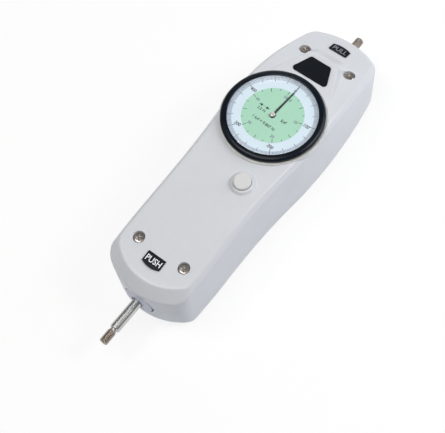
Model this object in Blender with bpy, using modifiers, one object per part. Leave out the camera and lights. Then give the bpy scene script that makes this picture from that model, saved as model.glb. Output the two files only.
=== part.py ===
"""Analog push and pull force gauge, lying on its back with its dial up.

The long axis is Y, the pull end is at +Y, the push end at -Y, and the back
face lies on z = 0. A rod runs through the case on a pair of load springs, and
its rack turns the pointer through a two-step gear train.
"""

import math

import bmesh
import bpy
from mathutils import Matrix, Vector

MM = 0.001

# Driving dimensions of the case
ROD_HEIGHT = 21.7 * MM
FACE_HEIGHT = 48.5 * MM
PUSH_END_Y = -101.5 * MM
PULL_END_Y = 102.0 * MM
END_ARC_RADIUS = 40.0 * MM
CORNER_RADIUS = 11.0 * MM
WALL = 2.5 * MM
SEAM_GAP = 0.3 * MM
FIT_GAP = 0.3 * MM
OVERRUN = 1.0 * MM
DRAFT = 1.5 * MM

# The waisted outline: place along Y, inset from the swell that carries the dial
SWELL_MARGIN = 0.4 * MM
WAIST_INSETS = (
    (-94.0 * MM, 3.2 * MM),
    (-70.0 * MM, 2.8 * MM),
    (-43.5 * MM, 3.3 * MM),
    (-23.5 * MM, 3.1 * MM),
    (-3.5 * MM, 2.0 * MM),
    (16.5 * MM, 0.3 * MM),
    (38.5 * MM, 0.0),
    (60.5 * MM, 1.3 * MM),
    (80.5 * MM, 3.8 * MM),
    (96.0 * MM, 6.8 * MM),
)
SIDE_STEPS = 20
CORNER_STEPS = 4
END_STEPS = 4

# The face is level by the dial and slopes down to both ends
LEVEL_FROM_Y = -20.5 * MM
LEVEL_TO_Y = 34.5 * MM
PUSH_BEND_LENGTH = 30.0 * MM
PUSH_SLOPE_SHARE = 0.105
PULL_BEND_LENGTH = 40.0 * MM
PULL_SLOPE_SHARE = 0.335

# Edges: inset from the wall and drop from the face, from wall to face
SIDE_EDGE_RADIUS = 3.0 * MM
PULL_EDGE_RADIUS = 4.0 * MM
CHAMFER_RUN = 6.6 * MM
CHAMFER_DROP = 5.8 * MM
CHAMFER_SOFTNESS = 0.7 * MM
CHAMFER_SHARES = (0.1, 0.5, 0.9)
LEAST_CORNER_RADIUS = 1.5 * MM
EDGE_STEPS = 4

# Raised tongue from the dial towards the pull end
TONGUE_TOP = 47.7 * MM
TONGUE_ROOT_Y = 40.5 * MM
TONGUE_ROOT_HALF = 26.3 * MM
TONGUE_SHOULDER_Y = 71.6 * MM
TONGUE_SHOULDER_HALF = 10.9 * MM
TONGUE_TIP_Y = 74.9 * MM
TONGUE_TIP_HALF = 6.4 * MM
TONGUE_SIDE_FLARE_SHARE = 0.38
TONGUE_TIP_FLARE_SHARE = 0.92
TONGUE_BITE = 1.0 * MM
TONGUE_STEPS = 10

# Dial and bezel
DIAL_Y = 24.5 * MM
BEZEL_RADIUS = 30.0 * MM
BEZEL_BOTTOM = 50.1 * MM
BEZEL_EDGE = 51.2 * MM
BEZEL_TOP = 53.0 * MM
BEZEL_SLOPE_WIDTH = 2.6 * MM
BEZEL_WIDTH = 3.9 * MM
BEZEL_LIP_HEIGHT = 52.7 * MM
BEZEL_WALL = 2.9 * MM
BEZEL_SOFTNESS = 0.6 * MM
DIAL_BOSS_STEP = 0.3 * MM
DIAL_BOSS_CHAMFER = 0.5 * MM
DIAL_BOSS_BITE = 3.0 * MM
DIAL_TOP = 51.2 * MM
DIAL_THICKNESS = 0.8 * MM
DIAL_HOLE_RADIUS = 2.0 * MM
SEAT_RING_EDGE = 0.6 * MM
SEAT_RING_WIDTH = 6.6 * MM
SEAT_RING_THICKNESS = 0.6 * MM
DIAL_FOOT_INSET = 2.0 * MM
CENTRE_HOLE_RADIUS = 6.0 * MM
CRYSTAL_RIM_THICKNESS = 0.5 * MM
CRYSTAL_THICKNESS = 0.8 * MM
CRYSTAL_RISE = 1.5 * MM
CRYSTAL_STEPS = 4

# Pointer
POINTER_TIP_GAP = 3.1 * MM
POINTER_ROOT_HALF = 0.65 * MM
POINTER_TIP_HALF = 0.2 * MM
POINTER_THICKNESS = 0.3 * MM
POINTER_BOTTOM = 51.5 * MM
HUB_RADIUS = 1.8 * MM
HUB_THICKNESS = 0.9 * MM
HUB_CHAMFER = 0.2 * MM
REST_TURN_DEG = -4.0

# Measuring rod
ROD_RADIUS = 3.0 * MM
ROD_PUSH_TIP_Y = -131.3 * MM
ROD_PULL_TIP_Y = 111.7 * MM
THREAD_RADIUS = 2.5 * MM
THREAD_LENGTH = 8.3 * MM
THREAD_RELIEF_RADIUS = 2.1 * MM
THREAD_RELIEF_LENGTH = 1.2 * MM
ROD_CHAMFER = 0.5 * MM
ROD_TRAVEL = 10.0 * MM
COLLAR_RADIUS = 6.0 * MM
COLLAR_LENGTH = 4.0 * MM

# Bearings at the two ends of the case
PUSH_FLANGE_RADIUS = 8.0 * MM
PUSH_FLANGE_LENGTH = 4.0 * MM
PUSH_FLANGE_SUNK = 0.4 * MM
PUSH_NECK_RADIUS = 6.6 * MM
PUSH_NECK_LENGTH = 8.0 * MM
PULL_HOUSING_RADIUS = 6.3 * MM
PULL_HOUSING_LENGTH = 11.0 * MM
HOUSING_BORE_RADIUS = 4.4 * MM
HOUSING_CHAMFER = 0.5 * MM
BUSH_SUNK = 2.0 * MM
SADDLE_SIDE = 3.5 * MM

# Case screws
SCREW_X = 15.9 * MM
PUSH_SCREW_Y = -76.7 * MM
PULL_SCREW_Y = 76.8 * MM
SCREW_WELL_RADIUS = 3.5 * MM
SCREW_WELL_DEPTH = 3.2 * MM
SCREW_HEAD_RADIUS = 3.0 * MM
SCREW_HEAD_HEIGHT = 1.9 * MM
SCREW_HEAD_SOFTNESS = 0.7 * MM
SCREW_SHANK_RADIUS = 1.5 * MM
SCREW_TIP = 8.0 * MM
BOSS_RADIUS = 5.2 * MM

# Push button
BUTTON_SIDE_SPACE = 18.6 * MM
BUTTON_Y = -19.0 * MM
BUTTON_RADIUS = 5.1 * MM
BUTTON_TOP = 52.2 * MM
BUTTON_SOFTNESS = 0.9 * MM
BUTTON_FLANGE_RADIUS = 6.3 * MM
BUTTON_FLANGE_THICKNESS = 1.0 * MM
BUTTON_HOLLOW_RADIUS = 4.0 * MM
BUTTON_ROOF = 4.1 * MM
BUTTON_TRAVEL = 2.0 * MM
COLLAR_BASE_RADIUS = 7.4 * MM
COLLAR_TOP_RADIUS = 6.3 * MM
COLLAR_HEIGHT = 1.7 * MM
PLUNGER_RADIUS = 1.3 * MM
GUIDE_RADIUS = 8.4 * MM
GUIDE_BORE_RADIUS = 6.8 * MM
GUIDE_FLOOR = 1.2 * MM
BUTTON_WIRE_RADIUS = 0.35 * MM
BUTTON_COIL_RADIUS = 3.0 * MM
BUTTON_CURLS = 5

# Rack and gears: one turn of the pointer for ROD_TRAVEL
RACK_PINION_TEETH = 12
WHEEL_TEETH = 36
CENTRE_PINION_TEETH = 12
TRAIN_SIDE_SPACE = 4.0 * MM
WHEEL_ARBOR_X = -5.5 * MM
ADDENDUM_SHARE = 0.65
DEDENDUM_SHARE = 1.05
TOOTH_SHARE = 0.40
PRESSURE_ANGLE_DEG = 20.0
RACK_BODY = 3.0 * MM
RACK_THICKNESS = 3.0 * MM
RACK_FROM_Y = -15.5 * MM
RACK_TO_Y = 27.5 * MM
RACK_TEETH_FROM_Y = -7.0 * MM
RACK_TEETH_COUNT = 10
WHEEL_THICKNESS = 1.2 * MM
CENTRE_PINION_LENGTH = 2.5 * MM
ARBOR_RADIUS = 1.2 * MM
WHEEL_COLLET_RADIUS = 2.6 * MM

# Crosshead, spring anchor and load springs
CROSSHEAD_FROM_Y = -16.0 * MM
PLATE_THICKNESS = 4.0 * MM
CROSSHEAD_HALF = 16.3 * MM
CROSSHEAD_BELOW = 7.7 * MM
CROSSHEAD_ABOVE = 6.0 * MM
SPRING_X = 11.5 * MM
PLUG_RADIUS = 3.8 * MM
PLUG_LENGTH = 8.0 * MM
ANCHOR_FROM_Y = -66.0 * MM
ANCHOR_HALF = 19.0 * MM
ANCHOR_TOP = 36.0 * MM
SPRING_WIRE_RADIUS = 1.0 * MM
SPRING_COIL_RADIUS = 5.2 * MM
SPRING_CURLS = 13
CURL_POINTS = 8
RACK_CLAMP_HALF = 5.5 * MM

# Movement: bridge, top plate and pillars
BRIDGE_FROM_Y = -10.0 * MM
BRIDGE_TO_Y = 34.0 * MM
BRIDGE_SIDE_SPACE = 10.4 * MM
BRIDGE_LEG = 2.5 * MM
BRIDGE_PLATE_BOTTOM = 32.0 * MM
BRIDGE_PLATE = 2.0 * MM
PILLAR_RADIUS = 1.8 * MM
PILLAR_HEIGHT = 6.4 * MM
PILLAR_SIDE_INSET = 2.8 * MM
PILLAR_INSET = 2.5 * MM
TOP_PLATE = 1.2 * MM
TOP_PLATE_FROM_Y = -3.8 * MM
HAIRSPRING_OUTER = 6.5 * MM
HAIRSPRING_TURNS = 4
HAIRSPRING_WIRE = 0.15 * MM
HAIRSPRING_TURN_POINTS = 12

# Pointer brake under the button
LEVER_PIVOT_Y = -6.5 * MM
LEVER_THICKNESS = 1.0 * MM
LEVER_FROM_X = 3.0 * MM
LEVER_OVER_BUTTON = 1.7 * MM
LEVER_ARM_WIDTH = 3.6 * MM
LEVER_TAIL = 15.0 * MM
LEVER_NOSE = 11.5 * MM
LEVER_BARREL_RADIUS = 1.7 * MM
LEVER_BODY_HALF = 2.4 * MM
LEVER_PIN_RADIUS = 0.8 * MM
PAD_RADIUS = 1.4 * MM
PAD_THICKNESS = 0.8 * MM
BRACKET_WALL = 1.5 * MM
BRACKET_BASE = 0.8 * MM
BRACKET_HALF = 2.2 * MM
BRACKET_RISE = 2.0 * MM

# Plates on the face
NAME_PLATE_NEAR_Y = 58.1 * MM
NAME_PLATE_FAR_Y = 71.3 * MM
NAME_PLATE_NEAR_HALF = 12.8 * MM
NAME_PLATE_FAR_HALF = 7.0 * MM
NAME_PLATE_CORNER = 2.0 * MM
NAME_PLATE_THICKNESS = 0.5 * MM
NAME_PLATE_SUNK = 0.6 * MM
LABEL_HALF = 6.1 * MM
PUSH_LABEL_DEPTH = 6.6 * MM
PULL_LABEL_DEPTH = 5.4 * MM
LABEL_BULGE = 1.4 * MM
LABEL_THICKNESS = 0.35 * MM
PUSH_LABEL_Y = -79.5 * MM
PULL_LABEL_Y = 87.0 * MM
ARC_POINTS = 6

# Places that follow from the sizes above
SEAM_HEIGHT = ROD_HEIGHT
SWELL_HALF = BEZEL_RADIUS + SWELL_MARGIN
BUTTON_X = SWELL_HALF - BUTTON_SIDE_SPACE
BRIDGE_HALF = SWELL_HALF - BRIDGE_SIDE_SPACE
PILLAR_X = BRIDGE_HALF - PILLAR_SIDE_INSET
TRAIN_DISTANCE = BRIDGE_HALF - TRAIN_SIDE_SPACE
LEVER_TO_X = BUTTON_X + LEVER_OVER_BUTTON
BEZEL_TOP_RADIUS = BEZEL_RADIUS - BEZEL_SLOPE_WIDTH
BEZEL_LIP_RADIUS = BEZEL_RADIUS - BEZEL_WIDTH
BEZEL_BORE_RADIUS = BEZEL_RADIUS - BEZEL_WALL
SEAT_RING_RADIUS = BEZEL_RADIUS + SEAT_RING_EDGE
SEAT_RING_BORE = SEAT_RING_RADIUS - SEAT_RING_WIDTH
DIAL_BOSS_RADIUS = SEAT_RING_RADIUS - DIAL_BOSS_STEP
DIAL_FOOT_RADIUS = SEAT_RING_BORE - DIAL_FOOT_INSET
POINTER_LENGTH = BEZEL_LIP_RADIUS - POINTER_TIP_GAP
BACK_EDGE_RADIUS = PULL_EDGE_RADIUS
SEAT_RING_BOTTOM = BEZEL_BOTTOM - FIT_GAP - SEAT_RING_THICKNESS
DIAL_BOSS_TOP = SEAT_RING_BOTTOM - FIT_GAP
DIAL_FOOT_BOTTOM = DIAL_BOSS_TOP + FIT_GAP
DIAL_RADIUS = BEZEL_BORE_RADIUS - FIT_GAP
RACK_PITCH = ROD_TRAVEL * WHEEL_TEETH / (CENTRE_PINION_TEETH * RACK_PINION_TEETH)
RACK_PINION_PITCH_RADIUS = RACK_PINION_TEETH * RACK_PITCH / (2 * math.pi)
WHEEL_PITCH_RADIUS = TRAIN_DISTANCE * WHEEL_TEETH / (WHEEL_TEETH + CENTRE_PINION_TEETH)
CENTRE_PITCH_RADIUS = TRAIN_DISTANCE - WHEEL_PITCH_RADIUS
WHEEL_ARBOR_Y = DIAL_Y - math.sqrt(TRAIN_DISTANCE**2 - WHEEL_ARBOR_X**2)
RACK_PITCH_X = WHEEL_ARBOR_X + RACK_PINION_PITCH_RADIUS
CROSSHEAD_TOP = ROD_HEIGHT + CROSSHEAD_ABOVE
RACK_BOTTOM = CROSSHEAD_TOP + FIT_GAP
RACK_TOP = RACK_BOTTOM + RACK_THICKNESS
BRIDGE_TOP = BRIDGE_PLATE_BOTTOM + BRIDGE_PLATE
WHEEL_BOTTOM = BRIDGE_TOP + OVERRUN
WHEEL_TOP = WHEEL_BOTTOM + WHEEL_THICKNESS
PAD_BOTTOM = WHEEL_TOP + FIT_GAP
LEVER_BOTTOM = PAD_BOTTOM + PAD_THICKNESS + FIT_GAP
LEVER_TOP = LEVER_BOTTOM + LEVER_THICKNESS
LEVER_PIVOT_Z = LEVER_BOTTOM + LEVER_THICKNESS / 2
TOP_PLATE_BOTTOM = BRIDGE_TOP + PILLAR_HEIGHT + 2 * FIT_GAP
TOP_PLATE_TOP = TOP_PLATE_BOTTOM + TOP_PLATE
FACE_INSIDE = FACE_HEIGHT - WALL
BUTTON_FLANGE_TOP = FACE_INSIDE - 2 * FIT_GAP
BUTTON_FLANGE_BOTTOM = BUTTON_FLANGE_TOP - BUTTON_FLANGE_THICKNESS
BUTTON_HOLLOW_TOP = BUTTON_TOP - BUTTON_ROOF
PLUNGER_BOTTOM = LEVER_TOP + FIT_GAP
GUIDE_BOTTOM = PLUNGER_BOTTOM + OVERRUN
GUIDE_TOP = FACE_INSIDE - FIT_GAP
PUSH_HOUSING_Y = PUSH_END_Y + PUSH_FLANGE_SUNK
PUSH_HOUSING_END_Y = PUSH_HOUSING_Y + PUSH_FLANGE_LENGTH + PUSH_NECK_LENGTH
PULL_HOUSING_Y = PULL_END_Y - PUSH_FLANGE_SUNK
PULL_HOUSING_END_Y = PULL_HOUSING_Y - PULL_HOUSING_LENGTH
REST_COLLAR_Y = PUSH_HOUSING_END_Y + FIT_GAP
LIMIT_COLLAR_Y = PULL_HOUSING_END_Y - FIT_GAP - ROD_TRAVEL - COLLAR_LENGTH

PARTS = bpy.data.collections.new("force_gauge")
CUTTERS = bpy.data.collections.new("cutters")


def clear_scene():
    for thing in list(bpy.data.objects):
        bpy.data.objects.remove(thing)
    for collection in (PARTS, CUTTERS):
        bpy.context.scene.collection.children.link(collection)


def material(name, colour, roughness, metallic=0.0):
    """A Principled material; colour is given in display values from 0 to 1."""
    made = bpy.data.materials.new(name)
    made.use_nodes = True
    shader = made.node_tree.nodes["Principled BSDF"]
    linear = [c / 12.92 if c <= 0.04045 else ((c + 0.055) / 1.055) ** 2.4 for c in colour]
    shader.inputs["Base Color"].default_value = (*linear, 1.0)
    shader.inputs["Roughness"].default_value = roughness
    shader.inputs["Metallic"].default_value = metallic
    return made


def add_object(name, mesh, finish):
    thing = bpy.data.objects.new(name, mesh)
    (PARTS if finish else CUTTERS).objects.link(thing)
    if finish:
        mesh.materials.append(finish)
    else:
        thing.hide_render = True
        thing.display_type = "WIRE"
    return thing


def bmesh_object(name, shape, finish=None, smooth_deg=30.0):
    bmesh.ops.recalc_face_normals(shape, faces=shape.faces)
    mesh = bpy.data.meshes.new(name)
    shape.to_mesh(mesh)
    shape.free()
    mesh.shade_smooth()
    mesh.set_sharp_from_angle(angle=math.radians(smooth_deg))
    return add_object(name, mesh, finish)


def box(name, low, high, finish=None):
    shape = bmesh.new()
    bmesh.ops.create_cube(shape, size=1.0)
    size = [b - a for a, b in zip(low, high)]
    centre = [(a + b) / 2 for a, b in zip(low, high)]
    bmesh.ops.scale(shape, vec=size, verts=shape.verts)
    bmesh.ops.translate(shape, vec=centre, verts=shape.verts)
    return bmesh_object(name, shape, finish)


def cylinder(name, radius, start, end, finish=None, end_radius=None, sides=32):
    """A round bar or cone between two points."""
    start, end = Vector(start), Vector(end)
    way = end - start
    shape = bmesh.new()
    far = radius if end_radius is None else end_radius
    bmesh.ops.create_cone(
        shape, cap_ends=True, segments=sides, radius1=radius, radius2=far, depth=way.length
    )
    turn = way.to_track_quat("Z", "Y").to_matrix().to_4x4()
    bmesh.ops.transform(shape, matrix=Matrix.Translation((start + end) / 2) @ turn, verts=shape.verts)
    return bmesh_object(name, shape, finish)


def turned(name, profile, finish, place, axis="Z", steps=32, closed=False):
    """A turned piece: profile is (radius, height) down its outer side, top to bottom."""
    mesh = bpy.data.meshes.new(name)
    count = len(profile)
    edges = [(i, i + 1) for i in range(count - 1)]
    if closed:
        edges.append((count - 1, 0))
    mesh.from_pydata([(radius, 0.0, height) for radius, height in profile], edges, [])
    thing = add_object(name, mesh, finish)
    thing.location = place
    if axis == "Y":
        thing.rotation_euler = (math.radians(-90.0), 0.0, 0.0)
    screw = thing.modifiers.new("Turn", "SCREW")
    screw.steps = steps
    screw.render_steps = steps
    screw.use_merge_vertices = True
    screw.merge_threshold = 0.00001
    screw.use_smooth_shade = False
    return thing


def flat(name, outlines, thickness, finish=None, turn=None):
    """A flat piece from closed outlines in its own XY plane, from 0 up to its thickness."""
    curve = bpy.data.curves.new(name, "CURVE")
    curve.dimensions = "2D"
    curve.fill_mode = "BOTH"
    curve.extrude = thickness / 2
    for outline in outlines:
        spline = curve.splines.new("POLY")
        spline.points.add(len(outline) - 1)
        for point, (x, y) in zip(spline.points, outline):
            point.co = (x, y, 0.0, 1.0)
        spline.use_cyclic_u = True
    guide = bpy.data.objects.new(name + "_guide", curve)
    CUTTERS.objects.link(guide)
    guide.matrix_world = (turn or Matrix()) @ Matrix.Translation((0.0, 0.0, thickness / 2))
    return meshed(guide, name, finish)


def meshed(guide, name, finish):
    """Turns a curve object into a closed mesh with its caps welded."""
    bpy.context.view_layer.update()
    seen = guide.evaluated_get(bpy.context.evaluated_depsgraph_get())
    mesh = bpy.data.meshes.new_from_object(seen)
    mesh.transform(guide.matrix_world)
    mesh.materials.clear()
    bpy.data.objects.remove(guide)
    shape = bmesh.new()
    shape.from_mesh(mesh)
    bmesh.ops.remove_doubles(shape, verts=shape.verts, dist=0.000001)
    return bmesh_object(name, shape, finish)


def combine(thing, other, operation):
    """Applies a Boolean with another object, which stays as a hidden guide."""
    step = thing.modifiers.new(operation.title(), "BOOLEAN")
    step.operation = operation
    step.solver = "EXACT"
    step.object = other
    return thing


def even_shading(thing):
    """Lets the large flats keep their own shading beside the small cuts."""
    step = thing.modifiers.new("Shading", "WEIGHTED_NORMAL")
    step.keep_sharp = True


def round_outline(radius, centre=(0.0, 0.0), count=24):
    turns = [2 * math.pi * i / count for i in range(count)]
    return [(centre[0] + radius * math.cos(a), centre[1] + radius * math.sin(a)) for a in turns]


def rectangle(low, high):
    return [(low[0], low[1]), (high[0], low[1]), (high[0], high[1]), (low[0], high[1])]


def rounded_corners(outline, radius, steps=4):
    """Replaces each corner of a convex outline with an arc."""
    made = []
    count = len(outline)
    for i in range(count):
        before, here, after = (Vector(outline[(i + k) % count]) for k in (-1, 0, 1))
        to_before = (before - here).normalized()
        to_after = (after - here).normalized()
        half = to_before.angle(to_after) / 2
        reach = radius / math.tan(half)
        centre = here + (to_before + to_after).normalized() * (radius / math.sin(half))
        start = here + to_before * reach - centre
        sweep = start.angle_signed(here + to_after * reach - centre)
        for k in range(steps + 1):
            a = -sweep * k / steps
            turned_arm = Matrix.Rotation(a, 2) @ start
            made.append(tuple(centre + turned_arm))
    return made


def half_width(y):
    """The waisted half width of the case, as a smooth curve through its stations."""
    stations = [(place, SWELL_HALF - inset) for place, inset in WAIST_INSETS]
    last = len(stations) - 1
    k = 0
    while k < last - 1 and y > stations[k + 1][0]:
        k += 1
    (y0, w0), (y1, w1) = stations[k], stations[k + 1]

    def slope(i):
        low, high = stations[max(i - 1, 0)], stations[min(i + 1, last)]
        return (high[1] - low[1]) / (high[0] - low[0])

    span = y1 - y0
    t = min(max((y - y0) / span, 0.0), 1.0)
    ease = t * t * (3 - 2 * t)
    bend = span * (slope(k) * (t - 2 * t * t + t**3) + slope(k + 1) * (t**3 - t * t))
    return w0 + (w1 - w0) * ease + bend


def half_width_slope(y):
    return (half_width(y + OVERRUN) - half_width(y - OVERRUN)) / (2 * OVERRUN)


def face_height(y):
    """Height of the front face along Y: level by the dial, bent down to both ends."""
    if y > LEVEL_TO_Y:
        run, bend, slope = y - LEVEL_TO_Y, PULL_BEND_LENGTH, PULL_SLOPE_SHARE
    elif y < LEVEL_FROM_Y:
        run, bend, slope = LEVEL_FROM_Y - y, PUSH_BEND_LENGTH, PUSH_SLOPE_SHARE
    else:
        return FACE_HEIGHT
    if run < bend:
        return FACE_HEIGHT - slope * run * run / (2 * bend)
    return FACE_HEIGHT - slope * (run - bend / 2)


def corner_arc(end_y, side, wall_inset, end_inset):
    """Corner arc between a long side and an end arc: centre, start and end angle, radius."""
    arc_y = end_y - side * END_ARC_RADIUS
    radius = max(CORNER_RADIUS - wall_inset, LEAST_CORNER_RADIUS)
    reach = END_ARC_RADIUS - end_inset - radius
    near, far = arc_y, end_y
    for _ in range(30):
        y = (near + far) / 2
        lean = math.atan(-side * half_width_slope(y))
        x_centre = half_width(y) - wall_inset - radius * math.cos(lean)
        y_centre = y - side * radius * math.sin(lean)
        if math.hypot(x_centre, y_centre - arc_y) < reach:
            near = y
        else:
            far = y
    return x_centre, y_centre, lean, math.atan2(abs(y_centre - arc_y), x_centre), radius


def end_run(end_y, side, wall_edge, end_edge):
    """From the corner's start on the long side round to the middle of the end."""
    (wall_inset, wall_drop), (end_inset, end_drop) = wall_edge, end_edge
    x, y, start, stop, radius = corner_arc(end_y, side, wall_inset, end_inset)
    points = []
    for k in range(CORNER_STEPS):
        share = k / CORNER_STEPS
        a = start + (stop - start) * share
        drop = wall_drop + (end_drop - wall_drop) * share * share * (3 - 2 * share)
        points.append((x + radius * math.cos(a), y + side * radius * math.sin(a), drop))
    arc_y = end_y - side * END_ARC_RADIUS
    for k in range(END_STEPS):
        a = stop + (math.pi / 2 - stop) * k / END_STEPS
        reach = END_ARC_RADIUS - end_inset
        points.append((reach * math.cos(a), arc_y + side * reach * math.sin(a), end_drop))
    points.append((0.0, end_y - side * end_inset, end_drop))
    return points


def ring_points(wall_edge, push_edge, pull_edge):
    """A closed plan outline as (x, y, drop); point i mirrors point -i."""
    push = end_run(PUSH_END_Y, -1, wall_edge, push_edge)
    pull = end_run(PULL_END_Y, 1, wall_edge, pull_edge)
    right = list(reversed(push))
    first, last = push[0][1], pull[0][1]
    for k in range(1, SIDE_STEPS):
        y = first + (last - first) * k / SIDE_STEPS
        right.append((half_width(y) - wall_edge[0], y, wall_edge[1]))
    right += pull
    return right + [(-x, y, drop) for x, y, drop in reversed(right[1:-1])]


def quarter(radius):
    """Inset and drop along a quarter round edge, from the wall to the face."""
    turns = [math.pi / 2 * k / EDGE_STEPS for k in range(EDGE_STEPS + 1)]
    return [(radius * (1 - math.cos(a)), radius * (1 - math.sin(a))) for a in turns]


def chamfer():
    """Inset and drop along a wide end chamfer, from the wall to the face."""
    run, drop, soft = CHAMFER_RUN, CHAMFER_DROP, CHAMFER_SOFTNESS
    middle = [(run * share, drop * (1 - share)) for share in CHAMFER_SHARES]
    return [(0.0, drop + soft), *middle, (run + soft, 0.0)]


def shell_rings(front, skin, steps):
    """Rings of one skin of a half case, from the seam to its face; skin is its depth inside."""
    sign = 1 if front else -1
    seam_inset = skin + DRAFT / 2
    edge = (seam_inset, 0.0)
    seam = SEAM_HEIGHT + sign * SEAM_GAP / 2
    rings = [[(x, y, seam) for x, y, _ in ring_points(edge, edge, edge)]]
    extra = skin + (0.0 if front else DRAFT)
    wall = quarter(SIDE_EDGE_RADIUS if front else BACK_EDGE_RADIUS)
    push = chamfer()
    pull = quarter(PULL_EDGE_RADIUS) if front else chamfer()
    for k in steps:
        edges = [(inset + extra, drop) for inset, drop in (wall[k], push[k], pull[k])]
        ring = []
        for x, y, drop in ring_points(*edges):
            z = face_height(y) - skin - drop if front else skin + drop
            ring.append((x, y, z))
        rings.append(ring)
    return rings


def half_case(name, front, finish):
    """A half case as one closed skin: outer loft, inner loft and the rim between them."""
    shape = bmesh.new()
    lofts = []
    for skin, steps in ((0.0, range(EDGE_STEPS + 1)), (WALL, (0, EDGE_STEPS))):
        rings = shell_rings(front, skin, steps)
        lofts.append([[shape.verts.new(p) for p in ring] for ring in rings])
    count = len(lofts[0][0])
    for rings in lofts:
        for low, high in zip(rings, rings[1:]):
            for i in range(count):
                j = (i + 1) % count
                shape.faces.new((low[i], low[j], high[j], high[i]))
        cap = rings[-1]
        half = count // 2
        shape.faces.new((cap[0], cap[1], cap[-1]))
        for i in range(1, half - 1):
            shape.faces.new((cap[i], cap[i + 1], cap[-i - 1], cap[-i]))
        shape.faces.new((cap[half - 1], cap[half], cap[half + 1]))
    outer, inner = lofts[0][0], lofts[1][0]
    for i in range(count):
        j = (i + 1) % count
        shape.faces.new((outer[i], outer[j], inner[j], inner[i]))
    return bmesh_object(name, shape, finish)


def tongue_outline():
    """Top outline of the raised tongue, rounded at its two far corners."""
    corner = [
        (TONGUE_ROOT_HALF, TONGUE_ROOT_Y),
        (TONGUE_SHOULDER_HALF, TONGUE_SHOULDER_Y),
    ]
    right = []
    (x0, y0), (x1, y1) = corner
    for k in range(TONGUE_STEPS + 1):
        share = k / TONGUE_STEPS
        right.append((x0 + (x1 - x0) * share, y0 + (y1 - y0) * share))
    run_x, run_y = TONGUE_SHOULDER_HALF - TONGUE_TIP_HALF, TONGUE_TIP_Y - TONGUE_SHOULDER_Y
    for k in range(1, ARC_POINTS):
        a = math.pi / 2 * k / (ARC_POINTS - 1)
        right.append((TONGUE_TIP_HALF + run_x * math.cos(a), TONGUE_SHOULDER_Y + run_y * math.sin(a)))
    return right + [(-x, y) for x, y in reversed(right)]


def tongue(name):
    """Tongue with flared sides whose foot lies just under the sloping face."""
    outline = tongue_outline()
    count = len(outline)
    shape = bmesh.new()
    top, foot = [], []
    for i, (x, y) in enumerate(outline):
        along = Vector(outline[(i + 1) % count]) - Vector(outline[i - 1])
        normal = Vector((along.y, -along.x)).normalized()
        if i in (0, count - 1):
            normal = Vector((0.0, -1.0))
        flare = TONGUE_SIDE_FLARE_SHARE
        flare += (TONGUE_TIP_FLARE_SHARE - TONGUE_SIDE_FLARE_SHARE) * normal.y**2
        reach = 0.0
        for _ in range(12):
            depth = TONGUE_TOP - face_height(y + normal.y * reach) + TONGUE_BITE
            reach = flare * depth
        if i in (0, count - 1):
            reach = 0.0
        top.append(shape.verts.new((x, y, TONGUE_TOP)))
        foot_y = y + normal.y * reach
        foot_z = min(face_height(foot_y) - TONGUE_BITE, TONGUE_TOP - TONGUE_BITE)
        foot.append(shape.verts.new((x + normal.x * reach, foot_y, foot_z)))
    half = count // 2
    for i in range(half - 1):
        a, b = i, i + 1
        c, d = count - 2 - i, count - 1 - i
        shape.faces.new((top[a], top[b], top[c], top[d]))
        shape.faces.new((foot[a], foot[b], foot[c], foot[d]))
    for i in range(count):
        j = (i + 1) % count
        shape.faces.new((foot[i], foot[j], top[j], top[i]))
    return bmesh_object(name, shape)


def screw_places():
    return [
        (side * SCREW_X, y) for y in (PUSH_SCREW_Y, PULL_SCREW_Y) for side in (-1, 1)
    ]


def front_shell(finish):
    shell = half_case("front_shell", True, finish)
    combine(shell, tongue("tongue_form"), "UNION")
    boss_bottom = DIAL_BOSS_TOP - DIAL_BOSS_BITE
    boss = turned(
        "dial_boss_form",
        [
            (0.0, DIAL_BOSS_TOP),
            (DIAL_BOSS_RADIUS - DIAL_BOSS_CHAMFER, DIAL_BOSS_TOP),
            (DIAL_BOSS_RADIUS, DIAL_BOSS_TOP - DIAL_BOSS_CHAMFER),
            (DIAL_BOSS_RADIUS, boss_bottom + DIAL_BOSS_CHAMFER),
            (DIAL_BOSS_RADIUS - DIAL_BOSS_CHAMFER, boss_bottom),
            (0.0, boss_bottom),
        ],
        None,
        (0.0, DIAL_Y, 0.0),
        steps=48,
    )
    combine(shell, boss, "UNION")
    pocket_depth = NAME_PLATE_SUNK + OVERRUN
    pocket = name_plate_form("name_plate_pocket", FIT_GAP, TONGUE_TOP - NAME_PLATE_SUNK, pocket_depth)
    combine(shell, pocket, "DIFFERENCE")
    foot = (BUTTON_X, BUTTON_Y, FACE_HEIGHT - OVERRUN)
    head = (BUTTON_X, BUTTON_Y, FACE_HEIGHT + COLLAR_HEIGHT)
    collar = cylinder("button_collar_form", COLLAR_BASE_RADIUS, foot, head, None, COLLAR_TOP_RADIUS)
    combine(shell, collar, "UNION")
    add_seats(shell, True)
    centre_hole = cylinder(
        "centre_hole_cutter",
        CENTRE_HOLE_RADIUS,
        (0.0, DIAL_Y, FACE_INSIDE - DIAL_BOSS_BITE),
        (0.0, DIAL_Y, DIAL_BOSS_TOP + OVERRUN),
    )
    combine(shell, centre_hole, "DIFFERENCE")
    button_hole = cylinder(
        "button_hole_cutter",
        BUTTON_RADIUS + FIT_GAP,
        (BUTTON_X, BUTTON_Y, FACE_INSIDE - OVERRUN),
        (BUTTON_X, BUTTON_Y, FACE_HEIGHT + COLLAR_HEIGHT + OVERRUN),
    )
    combine(shell, button_hole, "DIFFERENCE")
    even_shading(shell)


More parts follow.
